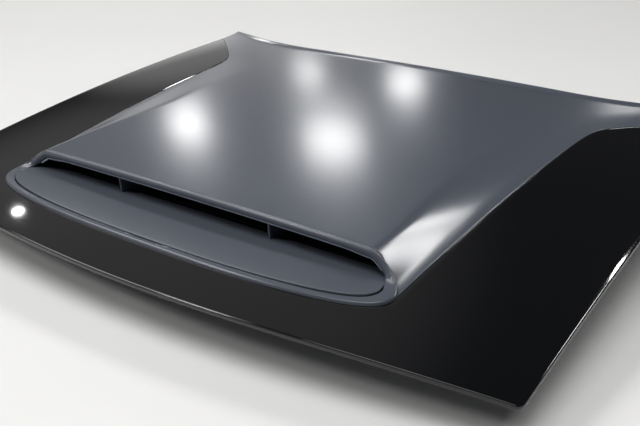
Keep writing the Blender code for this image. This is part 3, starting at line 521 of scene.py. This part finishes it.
def panelSection(number):
    s = outerPanel
    if number <= s["frontColumns"]:
        share = number / s["frontColumns"]
        inner = surroundEdge(math.pi / 2 * share, -hood["seam"], -hood["seam"])
        return inner, edgeOfStrip(share)
    share = (number - s["frontColumns"]) / s["sideColumns"]
    y = mix(hood["creaseFrontY"], tipY, 1 - (1 - share) ** s["sideSpread"])
    return (creaseHalf(y) + hood["seam"], y), (sideHalf(y), y + hood["seam"])


def panelPoint(inner, outer, base, inset, drop):
    reach = math.hypot(outer[0] - inner[0], outer[1] - inner[1])
    share = base + inset / max(reach, outerPanel["leastReach"])
    x, y = mix(inner[0], outer[0], share), mix(inner[1], outer[1], share)
    return x, y, baseHeight(x, y) - drop


def outerSkin():
    s = outerPanel
    count = s["frontColumns"] + s["sideColumns"]
    rows = [(0.0, inset, drop) for inset, drop in rolled(s["seamRoll"], s["seamDeep"])]
    rows += [(k / s["rows"], 0.0, 0.0) for k in range(1, s["rows"])]
    fold = rolled(s["edgeRoll"], s["edgeDeep"] - s["hemTurn"], s["edgeParts"])
    rows += [(1.0, -inset, drop) for inset, drop in reversed(fold)]
    rows += [(1.0, -s["hemStart"], s["edgeDeep"]), (1.0, -s["hem"], s["edgeDeep"])]

    def where(column, row):
        number = column - count
        inner, outer = panelSection(abs(number))
        return mirrored(number, panelPoint(inner, outer, *rows[row]))

    bm = gridSheet(2 * count, len(rows) - 1, where)
    giveWall(bm, hood["sheet"])
    addPiece("glossPanel", bm, "gloss_paint", "hood", ["outer_panel"], sharp=s["sharp"])


outerSkin()
print("gloss panel done")


# Satin scoop panel. A section is numbered from its foot, 0, past the shoulder to the crest

scoopPanel = {
    "flankParts": 6, "topParts": 7, "flankColumns": 30, "topColumns": 30,
    "stations": 96, "deckStations": 30, "stationSpread": 1.12,
    "roll": 0.0013, "deep": 0.0055, "lipRoll": 0.0026, "lipParts": 4,
    "foot": 0.0023, "lipSeam": 0.0015,  # room to the band at its foot, and over the mouth
    "widest": 0.7249, "sharp": 50,
}
crest = scoopPanel["flankParts"] + scoopPanel["topParts"]


def coverX(number, y, half):
    s = scoopPanel
    shoulder = min(shoulderHalf(y), half)
    if number <= s["flankParts"]:
        return mix(half, shoulder, number / s["flankParts"])
    return shoulder * (1 - (number - s["flankParts"]) / s["topParts"])


def lipEdge(number):
    x = coverX(number, hood["creaseFrontY"], hood["creaseFront"])
    y = lipY(x)
    return Vector((x, y, hoodHeight(x, y)))


def bandRoll(number):
    return ease(2 * number / scoopPanel["flankParts"])


def scoopSkin():
    s = scoopPanel
    edge = rolled(s["roll"], s["deep"])
    flanks, tops = range(1, s["flankColumns"] + 1), range(1, s["topColumns"] + 1)
    sides = [(0.0, inset, drop) for inset, drop in edge]
    sides += [(s["flankParts"] * k / s["flankColumns"], 0.0, 0.0) for k in flanks]
    sides += [(s["flankParts"] + s["topParts"] * k / s["topColumns"], 0.0, 0.0) for k in tops]
    first = hood["creaseFrontY"] + s["foot"]
    lipFold = rolled(s["lipRoll"], s["deep"], s["lipParts"])
    stations = [(first, inset, drop) for inset, drop in lipFold]
    stations += [(mix(first, tipY, (k / s["stations"]) ** s["stationSpread"]), 0.0, 0.0)
                 for k in range(1, s["stations"] + 1)]
    stations += [(mix(tipY, rearCornerY, k / s["deckStations"]), 0.0, 0.0)
                 for k in range(1, s["deckStations"])]
    stations += [(rearCornerY, -inset, drop) for inset, drop in reversed(edge)]
    columns, rows = len(sides) - 1, len(stations) - 1

    def where(column, row):
        number, inset, sideDrop = sides[columns - abs(column - columns)]
        edgeY, past, rowDrop = stations[row]
        half = creaseHalf(edgeY) if edgeY <= tipY else sideHalf(edgeY)
        x = min(coverX(number, edgeY, half), s["widest"]) - inset
        front = lipY(x) + mix(s["foot"], s["lipSeam"], bandRoll(number))
        middle = mix(front, hood["rearY"], (edgeY - first) / (rearCornerY - first))
        bend = max(0.0, (x - hood["sweepStart"]) / (half - hood["sweepStart"])) ** 2
        y = front if edgeY == first else mix(middle, edgeY, min(1.0, bend))
        y += past
        return mirrored(column - columns, (x, y, hoodHeight(x, y) - max(sideDrop, rowDrop)))

    bm = gridSheet(2 * columns, rows, where)
    giveWall(bm, hood["sheet"])
    addPiece("satinScoop", bm, "satin_paint", "hood", ["scoop_panel"], sharp=s["sharp"])


scoopSkin()
print("scoop panel done")


# Band round the mouth: flat in front, then it climbs and rolls over as the lip

lip = {
    "band": 0.0125, "bandEnd": 0.0155,  # depth over the mouth, and where it turns down beside it
    "bulge": 0.0055, "square": 0.62, "lean": 0.0015, "back": 0.022,
    "reach": 0.35,  # its slope is taken over this much of a section on each side
}


def lipNormal(number):
    ahead, behind = min(number + lip["reach"], crest), max(number - lip["reach"], 0.0)
    along = lipEdge(ahead) - lipEdge(behind)
    return Vector((along.z, 0, -along.x)).normalized()


def bandInner(number):
    outer = lipEdge(number)
    flat = outer + Vector((-surround["side"], 0, surround["rise"]))
    depth = mix(lip["bandEnd"], lip["band"], ease(number - scoopPanel["flankParts"]))
    over = outer - depth * lipNormal(number) + Vector((0, lip["lean"], 0))
    return flat.lerp(over, bandRoll(number))


def bandRise(inFromEdge):
    left = 1 - min(1.0, inFromEdge / surround["riseWidth"])
    return math.sqrt(1 - left * left)


def bandPoint(number, share):
    outer, inner, roll = lipEdge(number), bandInner(number), bandRoll(number)
    flat = outer.lerp(inner, share)
    flat.z += surround["rise"] * (bandRise(share * (inner - outer).length) - share)
    over = outer.lerp(inner, (1 - math.cos(math.pi * share)) / 2)
    over.y -= lip["bulge"] * max(0.0, math.sin(math.pi * share)) ** lip["square"]
    return flat.lerp(over, roll)


def frontBandPoint(angle, share):
    outer = surroundEdge(angle, 0, 0)
    inner = surroundEdge(angle, surround["side"], surround["front"])
    x, y = mix(outer[0], inner[0], share), mix(outer[1], inner[1], share)
    width = math.hypot(outer[0] - inner[0], outer[1] - inner[1])
    return Vector((x, y, baseHeight(x, y) + surround["rise"] * bandRise(share * width)))


def surroundSkin():
    s = surround
    flankParts, topParts = scoopPanel["flankParts"], scoopPanel["topParts"]
    corners, lips = range(1, s["cornerColumns"] + 1), range(1, s["lipColumns"] + 1)
    turns = [("flat", k / s["columns"]) for k in range(s["columns"] + 1)]
    turns += [("climb", flankParts * k / s["cornerColumns"]) for k in corners]
    turns += [("climb", flankParts + topParts * k / s["lipColumns"]) for k in lips]
    half = len(turns) - 1
    outRows = rolled(s["roll"], s["deep"])
    across = [(k / s["rows"]) ** s["rowSpread"] for k in range(1, s["rows"])]
    innerTurns = [math.pi / 2 * k / s["innerParts"] for k in range(s["innerParts"] + 1)]
    rows = len(outRows) + len(across) + len(innerTurns) + 1

    def face(kind, place, share):
        if kind == "flat":
            return frontBandPoint(math.pi / 2 * place, share)
        return bandPoint(place, share)

    def where(column, row):
        kind, place = turns[abs(column - half)]
        roll = 0.0 if kind == "flat" else bandRoll(place)
        outer, inner = face(kind, place, 0.0), face(kind, place, 1.0)
        width = (inner - outer).length
        if row < len(outRows):
            inset, drop = outRows[row]
            spot = face(kind, place, min(s["mostRoll"], inset / width)) - Vector((0, 0, drop))
        elif row < len(outRows) + len(across):
            first = min(s["mostRoll"], s["roll"] / width)
            spot = face(kind, place, mix(first, 1.0, across[row - len(outRows)]))
        else:
            back = Vector((0, 0, -s["deep"])).lerp(Vector((0, lip["back"], 0)), roll)
            along = (inner - face(kind, place, s["nearEdge"])).normalized()
            step = row - len(outRows) - len(across)
            if step < len(innerTurns):
                turn = innerTurns[step]
                spot = inner - s["innerRound"] * (1 - math.sin(turn)) * along
                spot += s["innerRound"] * (1 - math.cos(turn)) * back.normalized()
            else:
                spot = inner + back
        return mirrored(column - half, spot)

    bm = gridSheet(2 * half, rows - 1, where)
    giveWall(bm, hood["sheet"])
    addPiece("mouthBand", bm, "satin_paint", "hood", ["scoop_surround"], sharp=s["sharp"])


surroundSkin()
print("band round the mouth done")


# Sloping insert in front of the mouth

insert = {
    "sheet": 0.0025, "seam": 0.0029, "mouthHalf": 0.419,
    "creaseY": 0.167, "creaseSweep": 0.030, "creasePower": 2.5, "leastCrease": 0.4,
    "rise": 0.0070, "endPower": 6,
    "floor": 0.0235, "floorY": 0.228, "endY": 0.2455, "endZ": 0.0190,
    "columns": 72, "frontRows": 12, "slopeRows": 12, "floorRows": 4,
    "soften": 0.0018, "roll": 0.0009, "deep": 0.0035,
    "rearDrops": (0.0006, 0.0045, 0.0085),  # its rear edge is folded down
    "sharp": 40,
}
mouthHalf = insert["mouthHalf"]


def insertCrease(x):
    return insert["creaseY"] + insert["creaseSweep"] * (abs(x) / mouthHalf) ** insert["creasePower"]


def insertHeight(x, y):
    s = insert
    creaseY = insertCrease(x)
    frontY = hood["creaseFrontY"] - surround["depth"] + surround["front"]
    rise = mix(s["rise"], surround["rise"], (abs(x) / mouthHalf) ** s["endPower"])
    creaseZ = baseHeight(x, creaseY) + rise
    if y <= creaseY:
        share = max(0.0, (y - frontY) / (creaseY - frontY))
        return mix(baseHeight(x, y) + surround["rise"], creaseZ, share)
    if y <= s["floorY"]:
        return mix(creaseZ, s["floor"], (y - creaseY) / (s["floorY"] - creaseY))
    return mix(s["floor"], s["endZ"], (y - s["floorY"]) / (s["endY"] - s["floorY"]))


def softInsert(x, y):
    step = insert["soften"]
    return (insertHeight(x, y - step) + 2 * insertHeight(x, y) + insertHeight(x, y + step)) / 4


def insertSkin():
    s = insert
    widest = hood["creaseFront"] - surround["side"] - s["seam"]
    turnY = hood["creaseFrontY"] - surround["rise"]
    rows = [(0.0, inset, drop) for inset, drop in rolled(s["roll"], s["deep"])]
    for start, count in enumerate((s["frontRows"], s["slopeRows"], s["floorRows"])):
        rows += [(start + k / count, 0.0, 0.0) for k in range(1, count + 1)]
    rows += [(3.0, 0.0, drop) for drop in s["rearDrops"]]

    def where(column, row):
        number = column - s["columns"]
        angle = math.pi / 2 * abs(number) / s["columns"]
        x, front = surroundEdge(angle, surround["side"] + s["seam"], surround["front"] + s["seam"])
        creaseY = max(insertCrease(x), mix(front, s["floorY"], s["leastCrease"]))
        place, inset, drop = rows[row]
        if place <= 1:
            y = mix(front, creaseY, place) + inset
        elif place <= 2:
            y = mix(creaseY, s["floorY"], place - 1)
        else:
            y = mix(s["floorY"], s["endY"], place - 2)
        narrow = min(1.0, max(0.0, (y - turnY) / (s["floorY"] - turnY)))
        x *= mix(1, mouthHalf / widest, narrow)
        return mirrored(number, (x, y, softInsert(x, y) - drop))

    bm = gridSheet(2 * s["columns"], len(rows) - 1, where)
    giveWall(bm, s["sheet"])
    addPiece("slopedInsert", bm, "insert_plastic", "hood", ["scoop_insert"], sharp=s["sharp"])


insertSkin()
print("insert done")


# Bright strip under the lip, and the uprights in the mouth

trim = {"first": 3.0, "depth": 0.012, "thickness": 0.0034, "setback": -0.0014, "gap": 0.0003,
        "columns": 90, "rows": 2, "edge": 0.0006}
vaneEdge = 0.0008


def mouthTrim():
    s = trim

    def where(column, row):
        number = mix(s["first"], crest, 1 - abs(column - s["columns"]) / s["columns"])
        inner = bandInner(number)
        inward = inner - lipEdge(number)
        inward.y = 0
        spot = inner + s["gap"] * inward.normalized()
        spot.y += s["setback"] + s["depth"] * row / s["rows"]
        return mirrored(column - s["columns"], spot)

    bm = gridSheet(2 * s["columns"], s["rows"], where)
    giveWall(bm, s["thickness"])
    roundEdges(addPiece("mouthTrim", bm, "satin_trim", "hood", ["mouth_trim"]), s["edge"])


mouthTrim()
for label in ("left", "right"):
    dressed("vane" + label.title(), "scoop_vane_" + label, "insert_plastic", "hood", vaneEdge)
print("mouth done")


# Stamped inner frame: grooves along its ribs and rounded cut-outs. Its places are shares of the
# half width and of the length, and a groove is its middle and half its width

innerFrame = {
    "across": [0, 0.04, 0.10, 0.29, 0.325, 0.36, 0.55, 0.59, 0.63, 0.79, 0.84, 0.92, 0.96, 1],
    "along": [0, 0.035, 0.09, 0.16, 0.20, 0.30, 0.35, 0.42, 0.475, 0.51, 0.54, 0.57,
              0.70, 0.725, 0.75, 0.88, 0.91, 0.95, 1],
    "windowColumns": [(0.10, 0.29), (0.36, 0.55), (0.63, 0.79)],
    "windowRows": [(0.57, 0.70), (0.75, 0.88)],
    "outlet": ((-0.29, 0.29), (0.35, 0.475)),
    "grooveColumns": [(0.0, 0.04), (0.325, 0.035), (0.59, 0.04), (0.84, 0.05)],
    "grooveRows": [(0.20, 0.035), (0.54, 0.03), (0.725, 0.025)],
    "grooveFront": 0.20, "grooveStart": 0.54,
    "outletGuard": (0.45, 0.27),  # no long grooves this near the outlet
    "inset": 0.012, "drop": 0.0360, "blend": 0.070, "seat": 0.0043,
    "bead": 0.0095, "flange": 0.0045, "corner": (0.030, 0.019),
    "sheet": 0.0020, "step": 0.016, "least": 2, "close": 1e-6, "sharp": 50,
}


def finer(lines):
    # the same lines with more between them
    made = [lines[0]]
    for low, high in zip(lines, lines[1:]):
        count = max(innerFrame["least"], round((high - low) / innerFrame["step"]))
        made += [mix(low, high, k / count) for k in range(1, count + 1)]
    return made


def frameEdge(x, y):
    inset = innerFrame["inset"]
    side = sideHalf(y) - inset - abs(x)
    return max(0.0, min(side, y - frontLine(x) - inset, rearLine(x) - inset - y))


def grooveDepth(across, along):
    s = innerFrame
    depths = [ease(1 - abs(along - line) / half) for line, half in s["grooveRows"]]
    width, front = s["outletGuard"]
    nearOutlet = abs(across) < width and front < along < s["grooveStart"]
    if along > s["grooveFront"] and not nearOutlet:
        depths += [ease(1 - abs(abs(across) - line) / half) for line, half in s["grooveColumns"]]
    return max(depths)


def windows():
    s = innerFrame
    made = [(columns, rows) for columns in s["windowColumns"] for rows in s["windowRows"]]
    made += [((-high, -low), rows) for (low, high), rows in made]
    return made + [s["outlet"]]


def roundedCorner(across, along, opening):
    # moves a point on an opening's edge, near a corner, on to the corner's arc
    (left, right), (front, rear) = opening
    acrossRound, alongRound = innerFrame["corner"]
    close = innerFrame["close"]
    fromSide, fromEnd = min(across - left, right - across), min(along - front, rear - along)
    outside = fromSide < -close or fromEnd < -close
    inside = fromSide > close and fromEnd > close
    if outside or inside or fromSide >= acrossRound or fromEnd >= alongRound:
        return across, along
    if fromSide < close:
        turn = math.pi / 4 * (1 - fromEnd / alongRound)
    else:
        turn = math.pi / 4 * (1 + fromSide / acrossRound)
    sideways, lengthways = acrossRound * (1 - math.cos(turn)), alongRound * (1 - math.sin(turn))
    return (left + sideways if across - left < right - across else right - sideways,
            front + lengthways if along - front < rear - along else rear - lengthways)


def frameSpot(across, along):
    s = innerFrame
    frontY, rearY = cornerY + s["inset"], rearCornerY - s["inset"]
    x = across * (sideHalf(mix(frontY, rearY, along)) - s["inset"])
    y = mix(frontLine(x) + s["inset"], rearLine(x) - s["inset"], along)
    edge = frameEdge(x, y)
    raised = y > hood["creaseRearY"] and abs(x) < creaseHalf(y)
    rim = (hoodHeight(x, y) if raised else baseHeight(x, y)) - s["seat"]
    height = mix(rim, baseHeight(x, y) - s["drop"], ease(edge / s["blend"]))
    lift = s["bead"] * ease(edge / s["blend"] - 1) * grooveDepth(across, along)
    return Vector((x, y, height + lift))


def innerFrameSkin():
    s = innerFrame
    half = finer(s["across"])
    across = [-share for share in reversed(half[1:])] + half
    along = finer(s["along"])
    columns, rows = len(across) - 1, len(along) - 1
    openings = windows()
    bm = bmesh.new()
    bmesh.ops.create_grid(bm, x_segments=columns, y_segments=rows, size=1)
    gone = []
    for face in bm.faces:
        middle = face.calc_center_median()
        column, row = int((middle.x + 1) / 2 * columns), int((middle.y + 1) / 2 * rows)
        u, v = (across[column] + across[column + 1]) / 2, (along[row] + along[row + 1]) / 2
        if any(left < u < right and front < v < rear
               for (left, right), (front, rear) in openings):
            gone.append(face)
    bmesh.ops.delete(bm, geom=gone, context="FACES")
    for vert in bm.verts:
        u = across[round((vert.co.x + 1) / 2 * columns)]
        v = along[round((vert.co.y + 1) / 2 * rows)]
        for opening in openings:
            u, v = roundedCorner(u, v, opening)
        vert.co = frameSpot(u, v)
    holes = [edge for edge in bm.edges if edge.is_boundary
             and frameEdge(*((edge.verts[0].co + edge.verts[1].co) / 2).xy) > s["inset"]]
    for item in bmesh.ops.extrude_edge_only(bm, edges=holes)["geom"]:
        if isinstance(item, bmesh.types.BMVert):
            item.co.z += s["flange"]
    bm.normal_update()
    if sum(face.normal.z for face in bm.faces) < 0:
        bmesh.ops.reverse_faces(bm, faces=bm.faces)
    giveWall(bm, s["sheet"])
    addPiece("innerFrame", bm, "inner_paint", "hood", ["inner_frame"], sharp=s["sharp"])


innerFrameSkin()
print("inner frame done")


# Pressed felt pad with its clips

pad = {
    "half": 0.430, "front": 0.590, "rear": 0.975, "corner": 0.035,
    "room": 0.0391,  # under the hood's base surface
    "thick": 0.0116, "edge": 0.0035, "pillow": 0.030, "columns": 132, "rows": 62, "crowd": 0.35,
    "channel": 0.0042, "channelHalf": 0.008,
    "channels": [("x", -0.258), ("x", 0.0), ("x", 0.258), ("y", 0.718), ("y", 0.848)],
    "fill": 0.8, "sharp": 60,
}
clip = {
    "places": [(x, y) for y in (0.625, 0.94) for x in (-0.385, -0.13, 0.13, 0.385)]
    + [(-0.40, 0.782), (0.40, 0.782)],
    "half": 0.015, "blend": 0.016, "press": 0.0005, "sink": 0.0002, "steps": 32,
    "profile": [(0, 0.0004), (0.0125, 0.0004), (0.0132, -0.0004), (0.0115, -0.0016),
                (0.0068, -0.0024), (0.0062, -0.0016), (0.0025, -0.0016), (0, -0.0020)],
}


def padThickness(x, y, edge):
    s = pad
    full = ease(edge / s["pillow"])
    thick = mix(s["edge"], s["thick"], full)
    for axis, line in s["channels"]:
        away = abs((x if axis == "x" else y) - line)
        thick -= s["channel"] * ease(1 - away / s["channelHalf"]) * full
    for clipX, clipY in clip["places"]:
        away = math.hypot(x - clipX, y - clipY)
        thick = mix(s["edge"] + clip["press"], thick, ease((away - clip["half"]) / clip["blend"]))
    return thick


def insulationPad():
    s = pad
    width, depth, corner = 2 * s["half"], s["rear"] - s["front"], s["corner"]
    middle = (s["front"] + s["rear"]) / 2

    def crowded(share):
        return mix(share, math.sin(share * math.pi / 2), s["crowd"])

    def where(column, row):
        x = crowded(2 * column / s["columns"] - 1) * width / 2
        y = crowded(2 * row / s["rows"] - 1) * depth / 2
        # the corners of the square are drawn on to a rounded outline
        overX = max(0.0, abs(x) - (width / 2 - corner)) / corner
        overY = max(0.0, abs(y) - (depth / 2 - corner)) / corner
        pull = math.hypot(overX, overY)
        if pull > 0:
            pull = max(overX, overY) / pull
            x = math.copysign(min(abs(x), width / 2 - corner) + overX * pull * corner, x)
            y = math.copysign(min(abs(y), depth / 2 - corner) + overY * pull * corner, y)
        y += middle
        return Vector((x, y, baseHeight(x, y) - s["room"]))

    def fromEdge(x, y):
        alongX, alongY = width / 2 - abs(x), depth / 2 - abs(y - middle)
        if alongX < corner and alongY < corner:
            return max(0.0, corner - math.hypot(corner - alongX, corner - alongY))
        return max(0.0, min(alongX, alongY))

    bm = gridSheet(s["columns"], s["rows"], where)
    for item in bmesh.ops.extrude_face_region(bm, geom=list(bm.faces))["geom"]:
        if isinstance(item, bmesh.types.BMVert):
            item.co.z -= padThickness(item.co.x, item.co.y, fromEdge(item.co.x, item.co.y))
    bmesh.ops.recalc_face_normals(bm, faces=bm.faces)
    felt = addPiece("feltPad", bm, "pad_felt", "hood", ["insulation_pad"], sharp=s["sharp"])
    heads = []
    for x, y in clip["places"]:
        head = turned(clip["profile"], clip["steps"])
        z = baseHeight(x, y) - s["room"] - padThickness(x, y, s["pillow"]) - clip["sink"]
        bmesh.ops.translate(head, verts=head.verts, vec=(x, y, z))
        heads.append(head)
    addPiece("padClips", joined(heads), "duct_plastic", "hood")


insulationPad()
print("felt pad done")


# Hinges, struts, striker, stops and seals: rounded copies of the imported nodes, with their bolts

for name, node, slotName, width in (
        ("intakeDuct", "intake_duct", "duct_plastic", 0.0004),
        ("outletSeal", "outlet_seal", "seal_rubber", 0.0022),
        ("latchStriker", "latch_striker", "plated_steel", 0.0005),
        ("rearSeal", "rear_seal", "seal_rubber", 0.0)):
    dressed(name, node, slotName, "hood", width)

bolt = {
    "washer": [(0, 0), (0.0105, 0), (0.0105, 0.0010), (0.00741, 0.0021), (0, 0.0021)],
    "head": [(0, 0.0015), (0.007644, 0.0015), (0.007644, 0.0052), (0.006708, 0.0062),
             (0.00351, 0.0062), (0.00312, 0.0055), (0, 0.0055)],
    "washerSteps": 32, "headSteps": 6,
    "footIn": 0.024, "footAlong": (-0.044, 0.044), "footTop": 0.0041,
    "armIn": 0.015, "armAlong": (0.025, 0.120), "armUnder": 0.0041,
    "strikerAcross": (-0.0355, 0.0355), "strikerUnder": 0.0031,
}


def boltHeads(places, direction):
    heads = []
    for place in places:
        washer = turned(bolt["washer"], bolt["washerSteps"])
        head = turned(bolt["head"], bolt["headSteps"])
        heads.append(turnTo(joined([washer, head]), Vector(direction), Vector(place)))
    return joined(heads)


for label, side in (("left", 1), ("right", -1)):
    name = label.title()
    for piece, node, slotName, body, width in (
            ("hingeArm", "hinge_arm_", "hinge_paint", "hood", 0.0007),
            ("strutBracket", "strut_head_bracket_", "plated_steel", "hood", 0.0004),
            ("hoodStop", "hood_stop_", "seal_rubber", "hood", 0.0010),
            ("hingeFoot", "hinge_foot_", "hinge_paint", "hinge_feet", 0.0007),
            ("hingePin", "hinge_pin_", "plated_steel", "hinge_feet", 0.0005),
            ("footStud", "strut_foot_stud_", "plated_steel", "hinge_feet", 0.0003),
            ("strutTube", "strut_cylinder_", "strut_paint", "strut_tube_" + label, 0.0006),
            ("strutRod", "strut_rod_", "rod_chrome", "strut_rod_" + label, 0.0004)):
        dressed(piece + name, node + label, slotName, body, width)
    low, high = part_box("hinge_foot_" + label)
    footX = high.x - bolt["footIn"] if side > 0 else low.x + bolt["footIn"]
    bolts = boltHeads([(footX, y, bolt["footTop"]) for y in bolt["footAlong"]], (0, 0, 1))
    addPiece("footBolts" + name, bolts, "plated_steel", "hinge_feet", shift=False)
    low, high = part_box("hinge_arm_" + label)
    armX = high.x - bolt["armIn"] if side > 0 else low.x + bolt["armIn"]
    bolts = boltHeads([(armX, low.y + along, high.z - bolt["armUnder"])
                       for along in bolt["armAlong"]], (0, 0, -1))
    addPiece("armBolts" + name, bolts, "plated_steel", "hood", shift=False)
low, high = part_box("latch_striker")
middle = (low + high) / 2
bolts = boltHeads([(middle.x + across, middle.y, high.z - bolt["strikerUnder"])
                   for across in bolt["strikerAcross"]], (0, 0, -1))
addPiece("strikerBolts", bolts, "plated_steel", "hood", shift=False)
print("fittings done")


# Camera, fitted to the photograph at 640 by 426

camera = {
    "place": (0.3736, -1.8674, 0.7779), "right": (0.8223035, 0.56902456, -0.00529196),
    "up": (-0.23743514, 0.35154184, 0.9055622),
    "focalPixels": 863.6, "imageWidth": 640, "sensor": 36, "near": 0.05, "far": 200,
}
eye = bpy.data.cameras.new("photoCamera")
eye.sensor_width = camera["sensor"]
eye.lens = camera["focalPixels"] * camera["sensor"] / camera["imageWidth"]
eye.clip_start, eye.clip_end = camera["near"], camera["far"]
eyeHolder = bpy.data.objects.new("photoCamera", eye)
bpy.context.scene.collection.objects.link(eyeHolder)
right, up = Vector(camera["right"]).normalized(), Vector(camera["up"])
up = (up - up.dot(right) * right).normalized()
turn = Matrix((right, up, right.cross(up))).transposed().to_4x4()
eyeHolder.matrix_world = Matrix.Translation(camera["place"]) @ turn
bpy.context.scene.camera = eyeHolder

# Lamps by the way they stand from the middle of the hood: turn from the rear and height, in degrees
lampAim = Vector((-0.632, -0.45, 0.15))
lamps = {
    "overhead": {"turn": 165, "height": 72, "away": 4, "wide": 3.0, "deep": 3.0, "power": 88},
    "lipGlow": {"turn": -106, "height": 48, "away": 9, "wide": 5.6, "deep": 4.6, "power": 300},
    "lipGlowRight": {"turn": -141, "height": 38, "away": 9, "wide": 1.5, "deep": 1.8, "power": 160},
    "coveGlow": {"turn": 26, "height": 43.4, "away": 20, "wide": 6.2, "deep": 2.1, "power": 830},
    "coveGlowRear": {"turn": 8.6, "height": 41, "away": 20, "wide": 3.2, "deep": 1.0, "power": 340},
    "earGlow": {"turn": -11.5, "height": 15, "away": 20, "wide": 1.4, "deep": 0.9, "power": 17},
    "largeGlow": {"turn": -34, "height": 24, "away": 7, "wide": 0.68, "deep": 0.56, "power": 13.2},
    "leftGlow": {"turn": -47.5, "height": 21, "away": 7, "wide": 0.44, "deep": 0.36, "power": 8.2},
    "rearGlow": {"turn": -27.3, "height": 15.3, "away": 8, "wide": 0.44, "deep": 0.28,
                 "power": 5.7},
    "faintGlow": {"turn": -35.8, "height": 14.2, "away": 8, "wide": 0.38, "deep": 0.20,
                  "power": 2.7},
    "cornerGlow": {"turn": -70, "height": 29.3, "away": 7, "wide": 0.14, "deep": 0.15,
                   "power": 1.5},
}


def wayTo(turn, height):
    a, b = math.radians(turn), math.radians(height)
    return Vector((math.sin(a) * math.cos(b), math.cos(a) * math.cos(b), math.sin(b)))


for name, s in lamps.items():
    glow = bpy.data.lights.new(name, "AREA")
    glow.shape = "ELLIPSE"
    glow.size, glow.size_y = s["wide"], s["deep"]
    glow.energy = s["power"]
    toLamp = wayTo(s["turn"], s["height"])
    facing = toLamp.to_track_quat("Z", "Y").to_matrix().to_4x4()
    holder = bpy.data.objects.new(name, glow)
    holder.matrix_world = Matrix.Translation(lampAim + s["away"] * toLamp) @ facing
    holder.visible_camera = False
    bpy.context.scene.collection.objects.link(holder)

# Pale floor, and a world that is pale low down and dark overhead, with soft patches of light
studio = {
    "floorHalf": 40, "floorMiddle": (-0.6, 0, -0.0006),
    "levels": ((0.0, 0.72), (0.05, 0.55), (0.15, 0.035), (1.0, 0.035)),  # height and level
    "patches": [  # turn from the rear, height and radius in degrees, and level
        (-62, 42, 36, 0.26), (-43, 8, 13, 0.36), (-140, 18, 34, 0.4)],
    "warmWay": (-0.65, 0.4, 0.65), "cool": (0.94, 0.98, 1.05), "warm": (1.02, 1.0, 0.98),
}
floorFinish = {
    "shader": {"IOR": 1.45}, "fields": {"cloud": {"noise": (1.3, 4)}},
    "tone": {"cloud": 1}, "dark": (0.77, 0.765, 0.75), "light": (0.81, 0.805, 0.79),
    "rough": 0.55, "rougher": {"cloud": 0.1},
}
floorMesh = bpy.data.meshes.new("paleFloor")
bm = bmesh.new()
bmesh.ops.create_grid(bm, x_segments=1, y_segments=1, size=studio["floorHalf"])
bmesh.ops.translate(bm, verts=bm.verts, vec=studio["floorMiddle"])
bm.to_mesh(floorMesh)
bm.free()
floor = bpy.data.objects.new("paleFloor", floorMesh)
bpy.context.scene.collection.objects.link(floor)
floorMesh.materials.append(newFinish("paleFloor", floorFinish))

world = bpy.data.worlds.new("studio")
bpy.context.scene.world = world
world.use_nodes = True
sky = Wire(world.node_tree)
way = sky.node("ShaderNodeTexCoord", give="Generated")
level = sky.node("ShaderNodeSeparateXYZ", sockets={0: way}, give=2).steps(*studio["levels"])
for turn, height, radius, strength in studio["patches"]:
    level = level + sky.node("ShaderNodeMapRange", {"interpolation_type": "SMOOTHERSTEP"}, {
        "Value": way.facing(wayTo(turn, height)), "From Min": math.cos(math.radians(radius)),
        "From Max": 1.0, "To Min": 0.0, "To Max": strength})
tint = way.facing(studio["warmWay"]).steps((0.0, 0.0), (1.0, 1.0)).blend(
    studio["cool"], studio["warm"])
backdrop = world.node_tree.nodes["Background"]
world.node_tree.links.new(tint.socket, backdrop.inputs["Color"])
world.node_tree.links.new(level.socket, backdrop.inputs["Strength"])
bpy.context.scene.view_settings.view_transform = "Standard"
print("camera, lamps and floor ready")
